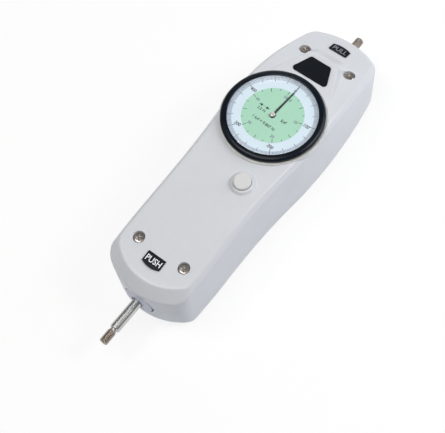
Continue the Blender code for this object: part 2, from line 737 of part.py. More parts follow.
def add_seats(shell, front):
    """Screw bosses and bearing saddles of a half case, and their holes."""
    sign = 1 if front else -1
    seam = SEAM_HEIGHT + sign * SEAM_GAP / 2
    label = "front" if front else "rear"
    for i, (x, y) in enumerate(screw_places(), 1):
        root = face_height(y) - WALL / 2 if front else WALL / 2
        boss = cylinder(f"{label}_boss_form_{i}", BOSS_RADIUS, (x, y, seam), (x, y, root), sides=12)
        combine(shell, boss, "UNION")
    for push in (True, False):
        radius = PUSH_NECK_RADIUS if push else PULL_HOUSING_RADIUS
        end_y = PUSH_END_Y if push else PULL_END_Y
        inner_y = PUSH_HOUSING_END_Y if push else PULL_HOUSING_END_Y
        side = 1 if push else -1
        wall_y = end_y + side * (WALL + DRAFT) / 2
        half = radius + SADDLE_SIDE
        reach = seam + sign * (radius + SADDLE_SIDE / 2)
        low = (-half, min(wall_y, inner_y), min(seam, reach))
        high = (half, max(wall_y, inner_y), max(seam, reach))
        place = "push" if push else "pull"
        combine(shell, box(f"{label}_{place}_saddle_form", low, high), "UNION")
    for i, (x, y) in enumerate(screw_places(), 1):
        top = face_height(y) + OVERRUN
        if front:
            low, high = (x, y, face_height(y) - SCREW_WELL_DEPTH), (x, y, FACE_HEIGHT + OVERRUN)
            well = cylinder(f"well_cutter_{i}", SCREW_WELL_RADIUS, low, high, sides=20)
            combine(shell, well, "DIFFERENCE")
        low = seam - OVERRUN if front else seam - SCREW_TIP
        hole_radius = SCREW_SHANK_RADIUS + FIT_GAP
        hole = cylinder(f"{label}_hole_cutter_{i}", hole_radius, (x, y, low), (x, y, top), sides=12)
        combine(shell, hole, "DIFFERENCE")
    push_from = (0.0, PUSH_END_Y - OVERRUN, ROD_HEIGHT)
    push_to = (0.0, PUSH_HOUSING_Y + PUSH_FLANGE_LENGTH + FIT_GAP, ROD_HEIGHT)
    neck_to = (0.0, PUSH_HOUSING_END_Y + OVERRUN, ROD_HEIGHT)
    pull_from = (0.0, PULL_HOUSING_END_Y - OVERRUN, ROD_HEIGHT)
    pull_to = (0.0, PULL_END_Y + OVERRUN, ROD_HEIGHT)
    seats = (
        ("flange", PUSH_FLANGE_RADIUS, push_from, push_to),
        ("neck", PUSH_NECK_RADIUS, push_from, neck_to),
        ("pull", PULL_HOUSING_RADIUS, pull_from, pull_to),
    )
    for place, radius, start, end in seats:
        cutter = cylinder(f"{label}_{place}_seat_cutter", radius + FIT_GAP, start, end, sides=28)
        combine(shell, cutter, "DIFFERENCE")


def rear_shell(finish):
    shell = half_case("rear_shell", False, finish)
    add_seats(shell, False)
    even_shading(shell)


def case_screws(finish):
    for i, (x, y) in enumerate(screw_places(), 1):
        seat = face_height(y) - SCREW_WELL_DEPTH + FIT_GAP
        top = seat + SCREW_HEAD_HEIGHT
        tip = SEAM_HEIGHT - SCREW_TIP + OVERRUN
        profile = [
            (0.0, top),
            (SCREW_HEAD_RADIUS - SCREW_HEAD_SOFTNESS, top),
            (SCREW_HEAD_RADIUS, top - SCREW_HEAD_SOFTNESS),
            (SCREW_HEAD_RADIUS, seat),
            (SCREW_SHANK_RADIUS, seat),
            (SCREW_SHANK_RADIUS, tip),
            (0.0, tip),
        ]
        turned(f"case_screw_{i}", profile, finish, (x, y, 0.0), steps=16)


def bearings(housing_finish, bush_finish):
    """Two bearing housings, clamped between the half cases, with their bushes."""
    cut = HOUSING_CHAMFER
    bore = HOUSING_BORE_RADIUS
    front = PUSH_FLANGE_LENGTH
    push = [
        (PUSH_NECK_RADIUS, front + PUSH_NECK_LENGTH),
        (PUSH_NECK_RADIUS, front),
        (PUSH_FLANGE_RADIUS, front),
        (PUSH_FLANGE_RADIUS, cut),
        (PUSH_FLANGE_RADIUS - cut, 0.0),
        (bore, 0.0),
        (bore, front + PUSH_NECK_LENGTH),
    ]
    turned("push_bearing", push, housing_finish, (0.0, PUSH_HOUSING_Y, ROD_HEIGHT), "Y", 28, True)
    pull = [
        (PULL_HOUSING_RADIUS - cut, PULL_HOUSING_LENGTH),
        (PULL_HOUSING_RADIUS, PULL_HOUSING_LENGTH - cut),
        (PULL_HOUSING_RADIUS, 0.0),
        (bore, 0.0),
        (bore, PULL_HOUSING_LENGTH),
    ]
    turned("pull_bearing", pull, housing_finish, (0.0, PULL_HOUSING_END_Y, ROD_HEIGHT), "Y", 28, True)
    outer = bore - FIT_GAP
    inner = ROD_RADIUS + FIT_GAP
    pairs = (
        ("push_bush", PUSH_HOUSING_Y + BUSH_SUNK, PUSH_FLANGE_LENGTH + PUSH_NECK_LENGTH - BUSH_SUNK),
        ("pull_bush", PULL_HOUSING_END_Y, PULL_HOUSING_LENGTH - BUSH_SUNK),
    )
    for name, y, length in pairs:
        ring = [(outer, length), (outer, 0.0), (inner, 0.0), (inner, length)]
        turned(name, ring, bush_finish, (0.0, y, ROD_HEIGHT), "Y", 24, True)


def rod(finish):
    """The measuring rod with its two threaded ends, which stay plain here."""
    length = ROD_PULL_TIP_Y - ROD_PUSH_TIP_Y
    cut = ROD_CHAMFER
    profile = [(0.0, length), (THREAD_RADIUS - cut, length), (THREAD_RADIUS, length - cut)]
    profile += [
        (THREAD_RADIUS, length - THREAD_LENGTH),
        (THREAD_RELIEF_RADIUS, length - THREAD_LENGTH),
        (THREAD_RELIEF_RADIUS, length - THREAD_LENGTH - THREAD_RELIEF_LENGTH),
        (ROD_RADIUS - cut, length - THREAD_LENGTH - THREAD_RELIEF_LENGTH),
        (ROD_RADIUS, length - THREAD_LENGTH - THREAD_RELIEF_LENGTH - cut),
    ]
    profile += [(radius, length - height) for radius, height in reversed(profile)]
    turned("measuring_rod", profile, finish, (0.0, ROD_PUSH_TIP_Y, ROD_HEIGHT), "Y", 20)


def stop_collars(finish):
    ring = [(COLLAR_RADIUS, COLLAR_LENGTH), (COLLAR_RADIUS, 0.0)]
    ring += [(ROD_RADIUS + FIT_GAP, 0.0), (ROD_RADIUS + FIT_GAP, COLLAR_LENGTH)]
    turned("rest_stop_collar", ring, finish, (0.0, REST_COLLAR_Y, ROD_HEIGHT), "Y", 24, True)
    turned("limit_stop_collar", ring, finish, (0.0, LIMIT_COLLAR_Y, ROD_HEIGHT), "Y", 24, True)


def upright_plate(name, outline, from_y, thickness, finish, holes=()):
    """A plate across the case: its outline is in X and Z, and it reaches along +Y."""
    turn = Matrix.Translation((0.0, from_y + thickness, 0.0)) @ Matrix.Rotation(math.pi / 2, 4, "X")
    return flat(name, [outline, *holes], thickness, finish, turn)


def spring_carriers(finish):
    """The fixed anchor plate, and the crosshead on the rod, with a plug in each spring's end."""
    rod_hole = round_outline(ROD_RADIUS + FIT_GAP, (0.0, ROD_HEIGHT))
    free_hole = round_outline(ROD_RADIUS + 2 * FIT_GAP, (0.0, ROD_HEIGHT))
    anchor = upright_plate(
        "spring_anchor",
        rectangle((-ANCHOR_HALF, WALL + FIT_GAP), (ANCHOR_HALF, ANCHOR_TOP)),
        ANCHOR_FROM_Y,
        PLATE_THICKNESS,
        finish,
        [free_hole],
    )
    crosshead = upright_plate(
        "crosshead",
        rectangle((-CROSSHEAD_HALF, ROD_HEIGHT - CROSSHEAD_BELOW), (CROSSHEAD_HALF, CROSSHEAD_TOP)),
        CROSSHEAD_FROM_Y,
        PLATE_THICKNESS,
        finish,
        [rod_hole],
    )
    anchor_y = ANCHOR_FROM_Y + PLATE_THICKNESS
    for side, place in ((-1, "left"), (1, "right")):
        x = side * SPRING_X
        root = (x, anchor_y - OVERRUN, ROD_HEIGHT)
        tip = (x, anchor_y + PLUG_LENGTH, ROD_HEIGHT)
        combine(anchor, cylinder(f"anchor_plug_form_{place}", PLUG_RADIUS, root, tip, sides=20), "UNION")
        root = (x, CROSSHEAD_FROM_Y + OVERRUN, ROD_HEIGHT)
        tip = (x, CROSSHEAD_FROM_Y - PLUG_LENGTH, ROD_HEIGHT)
        combine(crosshead, cylinder(f"head_plug_form_{place}", PLUG_RADIUS, root, tip, sides=20), "UNION")


def coil(name, coil_radius, wire_radius, length, curls, finish, place, turn=None):
    """A round coil spring along its own Z, as one unbroken tube."""
    count = curls * CURL_POINTS
    rise = length - 2 * wire_radius
    points = []
    for i in range(count + 1):
        share = i / count
        a = 2 * math.pi * curls * share
        points.append((coil_radius * math.cos(a), coil_radius * math.sin(a), wire_radius + rise * share))
    least = min(math.dist(low, high) for low, high in zip(points, points[CURL_POINTS:]))
    print(f"{name}: least gap between curls {(least - 2 * wire_radius) / MM:.2f} mm")
    return tube(name, points, wire_radius, finish, place, turn)


def tube(name, points, radius, finish, place, turn=None):
    curve = bpy.data.curves.new(name, "CURVE")
    curve.dimensions = "3D"
    curve.bevel_depth = radius
    curve.bevel_resolution = 1
    curve.use_fill_caps = True
    spline = curve.splines.new("POLY")
    spline.points.add(len(points) - 1)
    for point, co in zip(spline.points, points):
        point.co = (*co, 1.0)
    guide = bpy.data.objects.new(name + "_guide", curve)
    CUTTERS.objects.link(guide)
    guide.matrix_world = Matrix.Translation(place) @ (turn or Matrix())
    return meshed(guide, name, finish)


def load_springs(finish):
    start = ANCHOR_FROM_Y + PLATE_THICKNESS + FIT_GAP
    length = CROSSHEAD_FROM_Y - FIT_GAP - start
    turn = Matrix.Rotation(-math.pi / 2, 4, "X")
    for side, place in ((-1, "left"), (1, "right")):
        coil(
            f"load_spring_{place}",
            SPRING_COIL_RADIUS,
            SPRING_WIRE_RADIUS,
            length,
            SPRING_CURLS,
            finish,
            (side * SPRING_X, start, ROD_HEIGHT),
            turn,
        )


def gear_outline(teeth, pitch_radius, centre=(0.0, 0.0), turn=0.0):
    """Outline of a gear with stub teeth on involute flanks; tooth 0 is centred on turn."""
    module = 2 * pitch_radius / teeth
    base = pitch_radius * math.cos(math.radians(PRESSURE_ANGLE_DEG))
    tip = pitch_radius + ADDENDUM_SHARE * module
    root = pitch_radius - DEDENDUM_SHARE * module

    def involute(radius):
        if radius <= base:
            return 0.0
        roll = math.sqrt((radius / base) ** 2 - 1)
        return roll - math.atan(roll)

    half = math.pi * TOOTH_SHARE / teeth
    at_pitch = half + involute(pitch_radius)
    low = max(base, root)
    stops = [root, low, tip] if low > root else [root, pitch_radius, tip]
    flank = [(radius, at_pitch - involute(radius)) for radius in stops]
    made = []
    for k in range(teeth):
        middle = turn + 2 * math.pi * k / teeth
        for radius, spread in [(r, -s) for r, s in flank] + [(r, s) for r, s in reversed(flank)]:
            a = middle + spread
            made.append((centre[0] + radius * math.cos(a), centre[1] + radius * math.sin(a)))
    return made


def rack(finish):
    """Rack bar whose teeth face -X; it lies on the crosshead and on its clamp."""
    module = RACK_PITCH / math.pi
    tip = RACK_PITCH_X - ADDENDUM_SHARE * module
    root = RACK_PITCH_X + DEDENDUM_SHARE * module
    back = root + RACK_BODY
    lean = math.tan(math.radians(PRESSURE_ANGLE_DEG))
    half = RACK_PITCH * TOOTH_SHARE / 2
    outline = [(back, RACK_TO_Y), (back, RACK_FROM_Y), (root, RACK_FROM_Y)]
    first = WHEEL_ARBOR_Y - RACK_PITCH * math.ceil((WHEEL_ARBOR_Y - RACK_TEETH_FROM_Y) / RACK_PITCH)
    for k in range(RACK_TEETH_COUNT):
        y = first + k * RACK_PITCH
        wide = half + lean * (root - RACK_PITCH_X)
        narrow = half - lean * (RACK_PITCH_X - tip)
        outline += [(root, y - wide), (tip, y - narrow), (tip, y + narrow), (root, y + wide)]
    outline.append((root, RACK_TO_Y))
    flat("rack", [outline], RACK_THICKNESS, finish, Matrix.Translation((0.0, 0.0, RACK_BOTTOM)))
    clamp = upright_plate(
        "rack_clamp",
        rectangle((-RACK_CLAMP_HALF, ROD_HEIGHT - CROSSHEAD_ABOVE), (RACK_CLAMP_HALF, CROSSHEAD_TOP)),
        RACK_TO_Y - PLATE_THICKNESS,
        PLATE_THICKNESS,
        finish,
        [round_outline(ROD_RADIUS + FIT_GAP, (0.0, ROD_HEIGHT))],
    )
    return clamp


def gear_train(finish, arbor_finish):
    """Rack pinion and wheel on one arbor, and the centre pinion on the pointer's arbor."""
    place = (WHEEL_ARBOR_X, WHEEL_ARBOR_Y)
    to_centre = math.atan2(DIAL_Y - WHEEL_ARBOR_Y, -WHEEL_ARBOR_X)
    pinion_turn = math.pi / RACK_PINION_TEETH
    arbor = flat(
        "wheel_arbor",
        [gear_outline(RACK_PINION_TEETH, RACK_PINION_PITCH_RADIUS, place, pinion_turn)],
        RACK_THICKNESS - 2 * FIT_GAP,
        arbor_finish,
        Matrix.Translation((0.0, 0.0, RACK_BOTTOM + FIT_GAP)),
    )
    spindle_end = TOP_PLATE_TOP - FIT_GAP
    spindle = cylinder(
        "wheel_spindle_form",
        ARBOR_RADIUS,
        (*place, RACK_BOTTOM + OVERRUN),
        (*place, spindle_end),
        sides=16,
    )
    combine(arbor, spindle, "UNION")
    flat(
        "gear_wheel",
        [
            gear_outline(WHEEL_TEETH, WHEEL_PITCH_RADIUS, place, to_centre),
            round_outline(ARBOR_RADIUS + FIT_GAP, place, 16),
        ],
        WHEEL_THICKNESS,
        finish,
        Matrix.Translation((0.0, 0.0, WHEEL_BOTTOM)),
    )
    middle = (0.0, DIAL_Y)
    gap_turn = to_centre + math.pi + math.pi / CENTRE_PINION_TEETH
    pinion_bottom = WHEEL_BOTTOM + (WHEEL_THICKNESS - CENTRE_PINION_LENGTH) / 2
    pointer_arbor = flat(
        "pointer_arbor",
        [gear_outline(CENTRE_PINION_TEETH, CENTRE_PITCH_RADIUS, middle, gap_turn)],
        CENTRE_PINION_LENGTH,
        arbor_finish,
        Matrix.Translation((0.0, 0.0, pinion_bottom)),
    )
    spindle = cylinder(
        "pointer_spindle_form",
        ARBOR_RADIUS,
        (*middle, BRIDGE_PLATE_BOTTOM + FIT_GAP),
        (*middle, POINTER_BOTTOM + POINTER_THICKNESS + HUB_THICKNESS / 2),
        sides=16,
    )
    combine(pointer_arbor, spindle, "UNION")


def movement(finish, pillar_finish):
    """Bridge over the rod, top plate and four pillars."""
    inner = BRIDGE_HALF - BRIDGE_LEG
    foot = WALL + FIT_GAP
    outline = [
        (-BRIDGE_HALF, foot),
        (-inner, foot),
        (-inner, BRIDGE_PLATE_BOTTOM),
        (inner, BRIDGE_PLATE_BOTTOM),
        (inner, foot),
        (BRIDGE_HALF, foot),
        (BRIDGE_HALF, BRIDGE_TOP),
        (-BRIDGE_HALF, BRIDGE_TOP),
    ]
    bridge = upright_plate("movement_bridge", outline, BRIDGE_FROM_Y, BRIDGE_TO_Y - BRIDGE_FROM_Y, finish)
    pivots = ((WHEEL_ARBOR_X, WHEEL_ARBOR_Y), (0.0, DIAL_Y))
    radius = ARBOR_RADIUS + FIT_GAP
    for i, (x, y) in enumerate(pivots, 1):
        low, high = (x, y, BRIDGE_PLATE_BOTTOM - OVERRUN), (x, y, BRIDGE_TOP + OVERRUN)
        combine(bridge, cylinder(f"bridge_pivot_cutter_{i}", radius, low, high, sides=16), "DIFFERENCE")
    low, high = (-BRIDGE_HALF, TOP_PLATE_FROM_Y), (BRIDGE_HALF, BRIDGE_TO_Y)
    holes = [round_outline(radius, pivot, 16) for pivot in pivots]
    up = Matrix.Translation((0.0, 0.0, TOP_PLATE_BOTTOM))
    flat("movement_top_plate", [rectangle(low, high), *holes], TOP_PLATE, finish, up)
    rows = (TOP_PLATE_FROM_Y + PILLAR_INSET, BRIDGE_TO_Y - PILLAR_INSET)
    spots = [(side * PILLAR_X, y) for y in rows for side in (-1, 1)]
    for i, (x, y) in enumerate(spots, 1):
        low = (x, y, BRIDGE_TOP + FIT_GAP)
        high = (x, y, TOP_PLATE_BOTTOM - FIT_GAP)
        cylinder(f"movement_pillar_{i}", PILLAR_RADIUS, low, high, pillar_finish, sides=12)


def hairspring(finish):
    """Flat spiral that takes up the play of the train, round the pointer's arbor."""
    count = HAIRSPRING_TURNS * HAIRSPRING_TURN_POINTS
    height = LEVER_TOP + FIT_GAP
    inner = ARBOR_RADIUS + FIT_GAP + HAIRSPRING_WIRE
    points = []
    for i in range(count + 1):
        share = i / count
        a = 2 * math.pi * HAIRSPRING_TURNS * share
        radius = inner + (HAIRSPRING_OUTER - inner) * share
        points.append((radius * math.cos(a), radius * math.sin(a), 0.0))
    gap = (HAIRSPRING_OUTER - inner) / HAIRSPRING_TURNS - 2 * HAIRSPRING_WIRE
    print(f"hairspring: least gap between turns {gap / MM:.2f} mm")
    tube("hairspring", points, HAIRSPRING_WIRE, finish, (0.0, DIAL_Y, height))


def dial(dial_finish, ring_finish):
    """The metal ring that the bezel turns on, and the dial plate with its foot in that ring."""
    seat = [
        (SEAT_RING_RADIUS, SEAT_RING_THICKNESS),
        (SEAT_RING_RADIUS, 0.0),
        (SEAT_RING_BORE, 0.0),
        (SEAT_RING_BORE, SEAT_RING_THICKNESS),
    ]
    place = (0.0, DIAL_Y, SEAT_RING_BOTTOM)
    turned("bezel_seat_ring", seat, ring_finish, place, steps=48, closed=True)
    plate = [
        (DIAL_RADIUS, 0.0),
        (DIAL_RADIUS, -DIAL_THICKNESS),
        (DIAL_FOOT_RADIUS, -DIAL_THICKNESS),
        (DIAL_FOOT_RADIUS, DIAL_FOOT_BOTTOM - DIAL_TOP),
        (DIAL_FOOT_RADIUS - DIAL_THICKNESS, DIAL_FOOT_BOTTOM - DIAL_TOP),
        (DIAL_FOOT_RADIUS - DIAL_THICKNESS, -DIAL_THICKNESS),
        (DIAL_HOLE_RADIUS, -DIAL_THICKNESS),
        (DIAL_HOLE_RADIUS, 0.0),
    ]
    turned("dial_plate", plate, dial_finish, (0.0, DIAL_Y, DIAL_TOP), steps=40, closed=True)


def bezel(finish, clear_finish):
    soft = BEZEL_SOFTNESS
    lip_bottom = DIAL_TOP + CRYSTAL_RIM_THICKNESS + 2 * FIT_GAP
    profile = [
        (BEZEL_LIP_RADIUS, BEZEL_LIP_HEIGHT),
        (BEZEL_TOP_RADIUS - soft, BEZEL_TOP),
        (BEZEL_TOP_RADIUS, BEZEL_TOP),
        (BEZEL_RADIUS - soft / 2, BEZEL_EDGE + soft),
        (BEZEL_RADIUS, BEZEL_EDGE),
        (BEZEL_RADIUS, BEZEL_BOTTOM + soft / 2),
        (BEZEL_RADIUS - soft / 2, BEZEL_BOTTOM),
        (BEZEL_BORE_RADIUS, BEZEL_BOTTOM),
        (BEZEL_BORE_RADIUS, lip_bottom),
        (BEZEL_LIP_RADIUS, lip_bottom),
    ]
    turned("bezel_ring", profile, finish, (0.0, DIAL_Y, 0.0), steps=48, closed=True)
    rim_bottom = DIAL_TOP + FIT_GAP
    rim_top = rim_bottom + CRYSTAL_RIM_THICKNESS
    rim_radius = BEZEL_BORE_RADIUS - FIT_GAP
    window = BEZEL_LIP_RADIUS - FIT_GAP
    inside = window - CRYSTAL_THICKNESS

    def dome(radius, edge, foot):
        return foot + CRYSTAL_RISE * (1 - (radius / edge) ** 4)

    outer_foot = rim_top + CRYSTAL_RIM_THICKNESS
    profile = []
    for k in range(CRYSTAL_STEPS + 1):
        radius = window * k / CRYSTAL_STEPS
        profile.append((radius, dome(radius, window, outer_foot)))
    profile += [(window, rim_top), (rim_radius, rim_top), (rim_radius, rim_bottom)]
    profile.append((inside, rim_bottom))
    for k in range(CRYSTAL_STEPS, -1, -1):
        radius = inside * k / CRYSTAL_STEPS
        profile.append((radius, dome(radius, inside, outer_foot - CRYSTAL_THICKNESS)))
    turned("crystal", profile, clear_finish, (0.0, DIAL_Y, 0.0), steps=36)


def pointer(finish, hub_finish):
    """Pointer plate and hub, turned to where the photographed pointer rests."""
    turn = Matrix.Translation((0.0, DIAL_Y, POINTER_BOTTOM)) @ Matrix.Rotation(
        math.radians(REST_TURN_DEG), 4, "Z"
    )
    outline = [
        (POINTER_TIP_HALF, POINTER_LENGTH),
        (-POINTER_TIP_HALF, POINTER_LENGTH),
        (-POINTER_ROOT_HALF, 0.0),
        (POINTER_ROOT_HALF, 0.0),
    ]
    hub_hole = round_outline(ARBOR_RADIUS + FIT_GAP / 2, (0.0, 0.0), 16)
    disc = round_outline(HUB_RADIUS, (0.0, 0.0), 24)
    plate = flat("pointer", [outline], POINTER_THICKNESS, finish, turn)
    disc_form = flat("pointer_disc_form", [disc], POINTER_THICKNESS, None, turn)
    combine(plate, disc_form, "UNION")
    hole_low = Matrix.Translation((0.0, 0.0, -OVERRUN))
    hole = flat("pointer_hole_cutter", [hub_hole], POINTER_THICKNESS + 2 * OVERRUN, None, turn @ hole_low)
    combine(plate, hole, "DIFFERENCE")
    seat = POINTER_BOTTOM + POINTER_THICKNESS + FIT_GAP / 2
    bore = ARBOR_RADIUS + FIT_GAP / 2
    roof = POINTER_BOTTOM + POINTER_THICKNESS + HUB_THICKNESS / 2 + FIT_GAP / 2
    top = seat + HUB_THICKNESS
    profile = [
        (0.0, top),
        (HUB_RADIUS - HUB_CHAMFER, top),
        (HUB_RADIUS, top - HUB_CHAMFER),
        (HUB_RADIUS, seat),
        (bore, seat),
        (bore, roof),
        (0.0, roof),
    ]
    turned("pointer_hub", profile, hub_finish, (0.0, DIAL_Y, 0.0), steps=24)


def button(cap_finish, metal_finish, guide_finish):
    place = (BUTTON_X, BUTTON_Y, 0.0)
    soft = BUTTON_SOFTNESS
    cap = [(0.0, BUTTON_TOP)]
    for k in range(EDGE_STEPS):
        a = math.pi / 2 * k / (EDGE_STEPS - 1)
        out, down = soft * (1 - math.sin(a)), soft * (1 - math.cos(a))
        cap.append((BUTTON_RADIUS - out, BUTTON_TOP - down))
    cap += [
        (BUTTON_RADIUS, BUTTON_FLANGE_TOP),
        (BUTTON_FLANGE_RADIUS, BUTTON_FLANGE_TOP),
        (BUTTON_FLANGE_RADIUS, BUTTON_FLANGE_BOTTOM),
        (BUTTON_HOLLOW_RADIUS, BUTTON_FLANGE_BOTTOM),
        (BUTTON_HOLLOW_RADIUS, BUTTON_HOLLOW_TOP),
        (0.0, BUTTON_HOLLOW_TOP),
    ]
    turned("button_cap", cap, cap_finish, place, steps=28)
    low = (BUTTON_X, BUTTON_Y, PLUNGER_BOTTOM)
    high = (BUTTON_X, BUTTON_Y, BUTTON_HOLLOW_TOP - FIT_GAP)
    cylinder("button_plunger", PLUNGER_RADIUS, low, high, metal_finish, sides=16)
    bore = PLUNGER_RADIUS + FIT_GAP
    guide = [
        (GUIDE_RADIUS, GUIDE_TOP),
        (GUIDE_RADIUS, GUIDE_BOTTOM),
        (bore, GUIDE_BOTTOM),
        (bore, GUIDE_BOTTOM + GUIDE_FLOOR),
        (GUIDE_BORE_RADIUS, GUIDE_BOTTOM + GUIDE_FLOOR),
        (GUIDE_BORE_RADIUS, GUIDE_TOP),
    ]
    turned("button_guide", guide, guide_finish, place, steps=28, closed=True)
    foot = GUIDE_BOTTOM + GUIDE_FLOOR + FIT_GAP
    length = BUTTON_HOLLOW_TOP - FIT_GAP - foot
    coil(
        "button_spring",
        BUTTON_COIL_RADIUS,
        BUTTON_WIRE_RADIUS,
        length,
        BUTTON_CURLS,
        metal_finish,
        (BUTTON_X, BUTTON_Y, foot),
    )


def brake(lever_finish, pin_finish, pad_finish):
    """Brake lever on its pin: the button lifts its pad off the gear wheel."""
    y = LEVER_PIVOT_Y
    wide = LEVER_ARM_WIDTH
    outline = [
        (LEVER_FROM_X, y - LEVER_BODY_HALF),
        (LEVER_TO_X - wide, y - LEVER_BODY_HALF),
        (LEVER_TO_X - wide, y - LEVER_TAIL),
        (LEVER_TO_X, y - LEVER_TAIL),
        (LEVER_TO_X, y + LEVER_BODY_HALF),
        (LEVER_FROM_X + wide, y + LEVER_BODY_HALF),
        (LEVER_FROM_X + wide, y + LEVER_NOSE),
        (LEVER_FROM_X, y + LEVER_NOSE),
    ]
    up = Matrix.Translation((0.0, 0.0, LEVER_BOTTOM))
    lever = flat("brake_lever", [outline], LEVER_THICKNESS, lever_finish, up)
    low = (LEVER_FROM_X + FIT_GAP, y, LEVER_PIVOT_Z)
    high = (LEVER_TO_X - FIT_GAP, y, LEVER_PIVOT_Z)
    combine(lever, cylinder("lever_barrel_form", LEVER_BARREL_RADIUS, low, high, sides=20), "UNION")
    low = (LEVER_FROM_X - OVERRUN, y, LEVER_PIVOT_Z)
    high = (LEVER_TO_X + OVERRUN, y, LEVER_PIVOT_Z)
    bore = LEVER_PIN_RADIUS + FIT_GAP
    combine(lever, cylinder("lever_bore_cutter", bore, low, high, sides=16), "DIFFERENCE")
    pad_x = LEVER_FROM_X + wide / 2
    pad_y = y + LEVER_NOSE - wide / 2
    low, high = (pad_x, pad_y, PAD_BOTTOM), (pad_x, pad_y, PAD_BOTTOM + PAD_THICKNESS)
    cylinder("brake_pad", PAD_RADIUS, low, high, pad_finish, sides=16)
    inner_low, inner_high = LEVER_FROM_X - FIT_GAP, LEVER_TO_X + FIT_GAP
    outer_low, outer_high = inner_low - BRACKET_WALL, inner_high + BRACKET_WALL
    foot = BRIDGE_TOP + FIT_GAP
    floor = foot + BRACKET_BASE
    rim = LEVER_PIVOT_Z + BRACKET_RISE
    outline = [
        (outer_low, foot),
        (outer_high, foot),
        (outer_high, rim),
        (inner_high, rim),
        (inner_high, floor),
        (inner_low, floor),
        (inner_low, rim),
        (outer_low, rim),
    ]
    bracket = upright_plate("lever_bracket", outline, y - BRACKET_HALF, 2 * BRACKET_HALF, lever_finish)
    low = (outer_low - OVERRUN, y, LEVER_PIVOT_Z)
    high = (outer_high + OVERRUN, y, LEVER_PIVOT_Z)
    combine(bracket, cylinder("bracket_bore_cutter", bore, low, high, sides=16), "DIFFERENCE")
    low, high = (outer_low, y, LEVER_PIVOT_Z), (outer_high, y, LEVER_PIVOT_Z)
    cylinder("lever_pin", LEVER_PIN_RADIUS, low, high, pin_finish, sides=12)


def name_plate_form(name, grow, bottom, thickness, finish=None):
    """The plate's outline, a trapezoid with round corners, grown by a fit all round."""
    outline = [
        (-NAME_PLATE_NEAR_HALF - grow, NAME_PLATE_NEAR_Y - grow),
        (NAME_PLATE_NEAR_HALF + grow, NAME_PLATE_NEAR_Y - grow),
        (NAME_PLATE_FAR_HALF + grow, NAME_PLATE_FAR_Y + grow),
        (-NAME_PLATE_FAR_HALF - grow, NAME_PLATE_FAR_Y + grow),
    ]
    outline = rounded_corners(outline, NAME_PLATE_CORNER)
    return flat(name, [outline], thickness, finish, Matrix.Translation((0.0, 0.0, bottom)))


def name_plate(finish):
    bottom = TONGUE_TOP - NAME_PLATE_SUNK + FIT_GAP
    name_plate_form("name_plate", 0.0, bottom, NAME_PLATE_THICKNESS, finish)


def label(name, straight_y, reach, side, finish):
    """A label with one straight edge and one bowed edge towards its end of the case."""
    outline = [(-LABEL_HALF * side, 0.0), (LABEL_HALF * side, 0.0)]
    for k in range(ARC_POINTS + 1):
        share = 1 - 2 * k / ARC_POINTS
        bow = LABEL_BULGE * (1 - share * share)
        outline.append((LABEL_HALF * share * side, (reach + bow) * side))
    middle = straight_y + side * reach / 2
    step = reach / 2
    slope = (face_height(middle + step) - face_height(middle - step)) / (2 * step)
    lean = math.atan(slope)
    lift = FIT_GAP / math.cos(lean)
    place = Matrix.Translation((0.0, straight_y, face_height(straight_y) + lift))
    turn = place @ Matrix.Rotation(lean, 4, "X")
    flat(name, [outline], LABEL_THICKNESS, finish, turn)


def main():
    clear_scene()
    paint = material("case_paint", (0.83, 0.835, 0.85), 0.45)
    black = material("black_paint", (0.06, 0.07, 0.09), 0.35)
    white = material("dial_white", (0.86, 0.93, 0.98), 0.5)
    clear = material("clear_plastic", (0.90, 0.95, 0.97), 0.08)
    chrome = material("chrome", (0.75, 0.76, 0.78), 0.15, 1.0)
    steel = material("steel", (0.62, 0.63, 0.65), 0.35, 1.0)
    brass = material("brass", (0.78, 0.64, 0.36), 0.3, 1.0)
    zinc = material("yellow_zinc", (0.66, 0.58, 0.45), 0.35, 1.0)
    alloy = material("alloy", (0.72, 0.73, 0.78), 0.4, 1.0)
    plastic = material("button_white", (0.85, 0.85, 0.86), 0.4)
    nylon = material("nylon", (0.80, 0.79, 0.74), 0.5)
    felt = material("felt", (0.35, 0.18, 0.16), 0.95)
    front_shell(paint)
    rear_shell(paint)
    case_screws(zinc)
    bearings(alloy, brass)
    rod(chrome)
    stop_collars(steel)
    spring_carriers(steel)
    load_springs(steel)
    rack(steel)
    gear_train(brass, steel)
    movement(alloy, brass)
    hairspring(brass)
    dial(white, steel)
    bezel(black, clear)
    pointer(black, chrome)
    button(plastic, steel, nylon)
    brake(alloy, steel, felt)
    name_plate(black)
    label("push_label", PUSH_LABEL_Y, PUSH_LABEL_DEPTH, -1, black)
    label("pull_label", PULL_LABEL_Y, PULL_LABEL_DEPTH, 1, black)


main()
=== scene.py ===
import math

import bmesh
import bpy
import numpy as np
from mathutils import Matrix, Vector
from mathutils.geometry import delaunay_2d_cdt


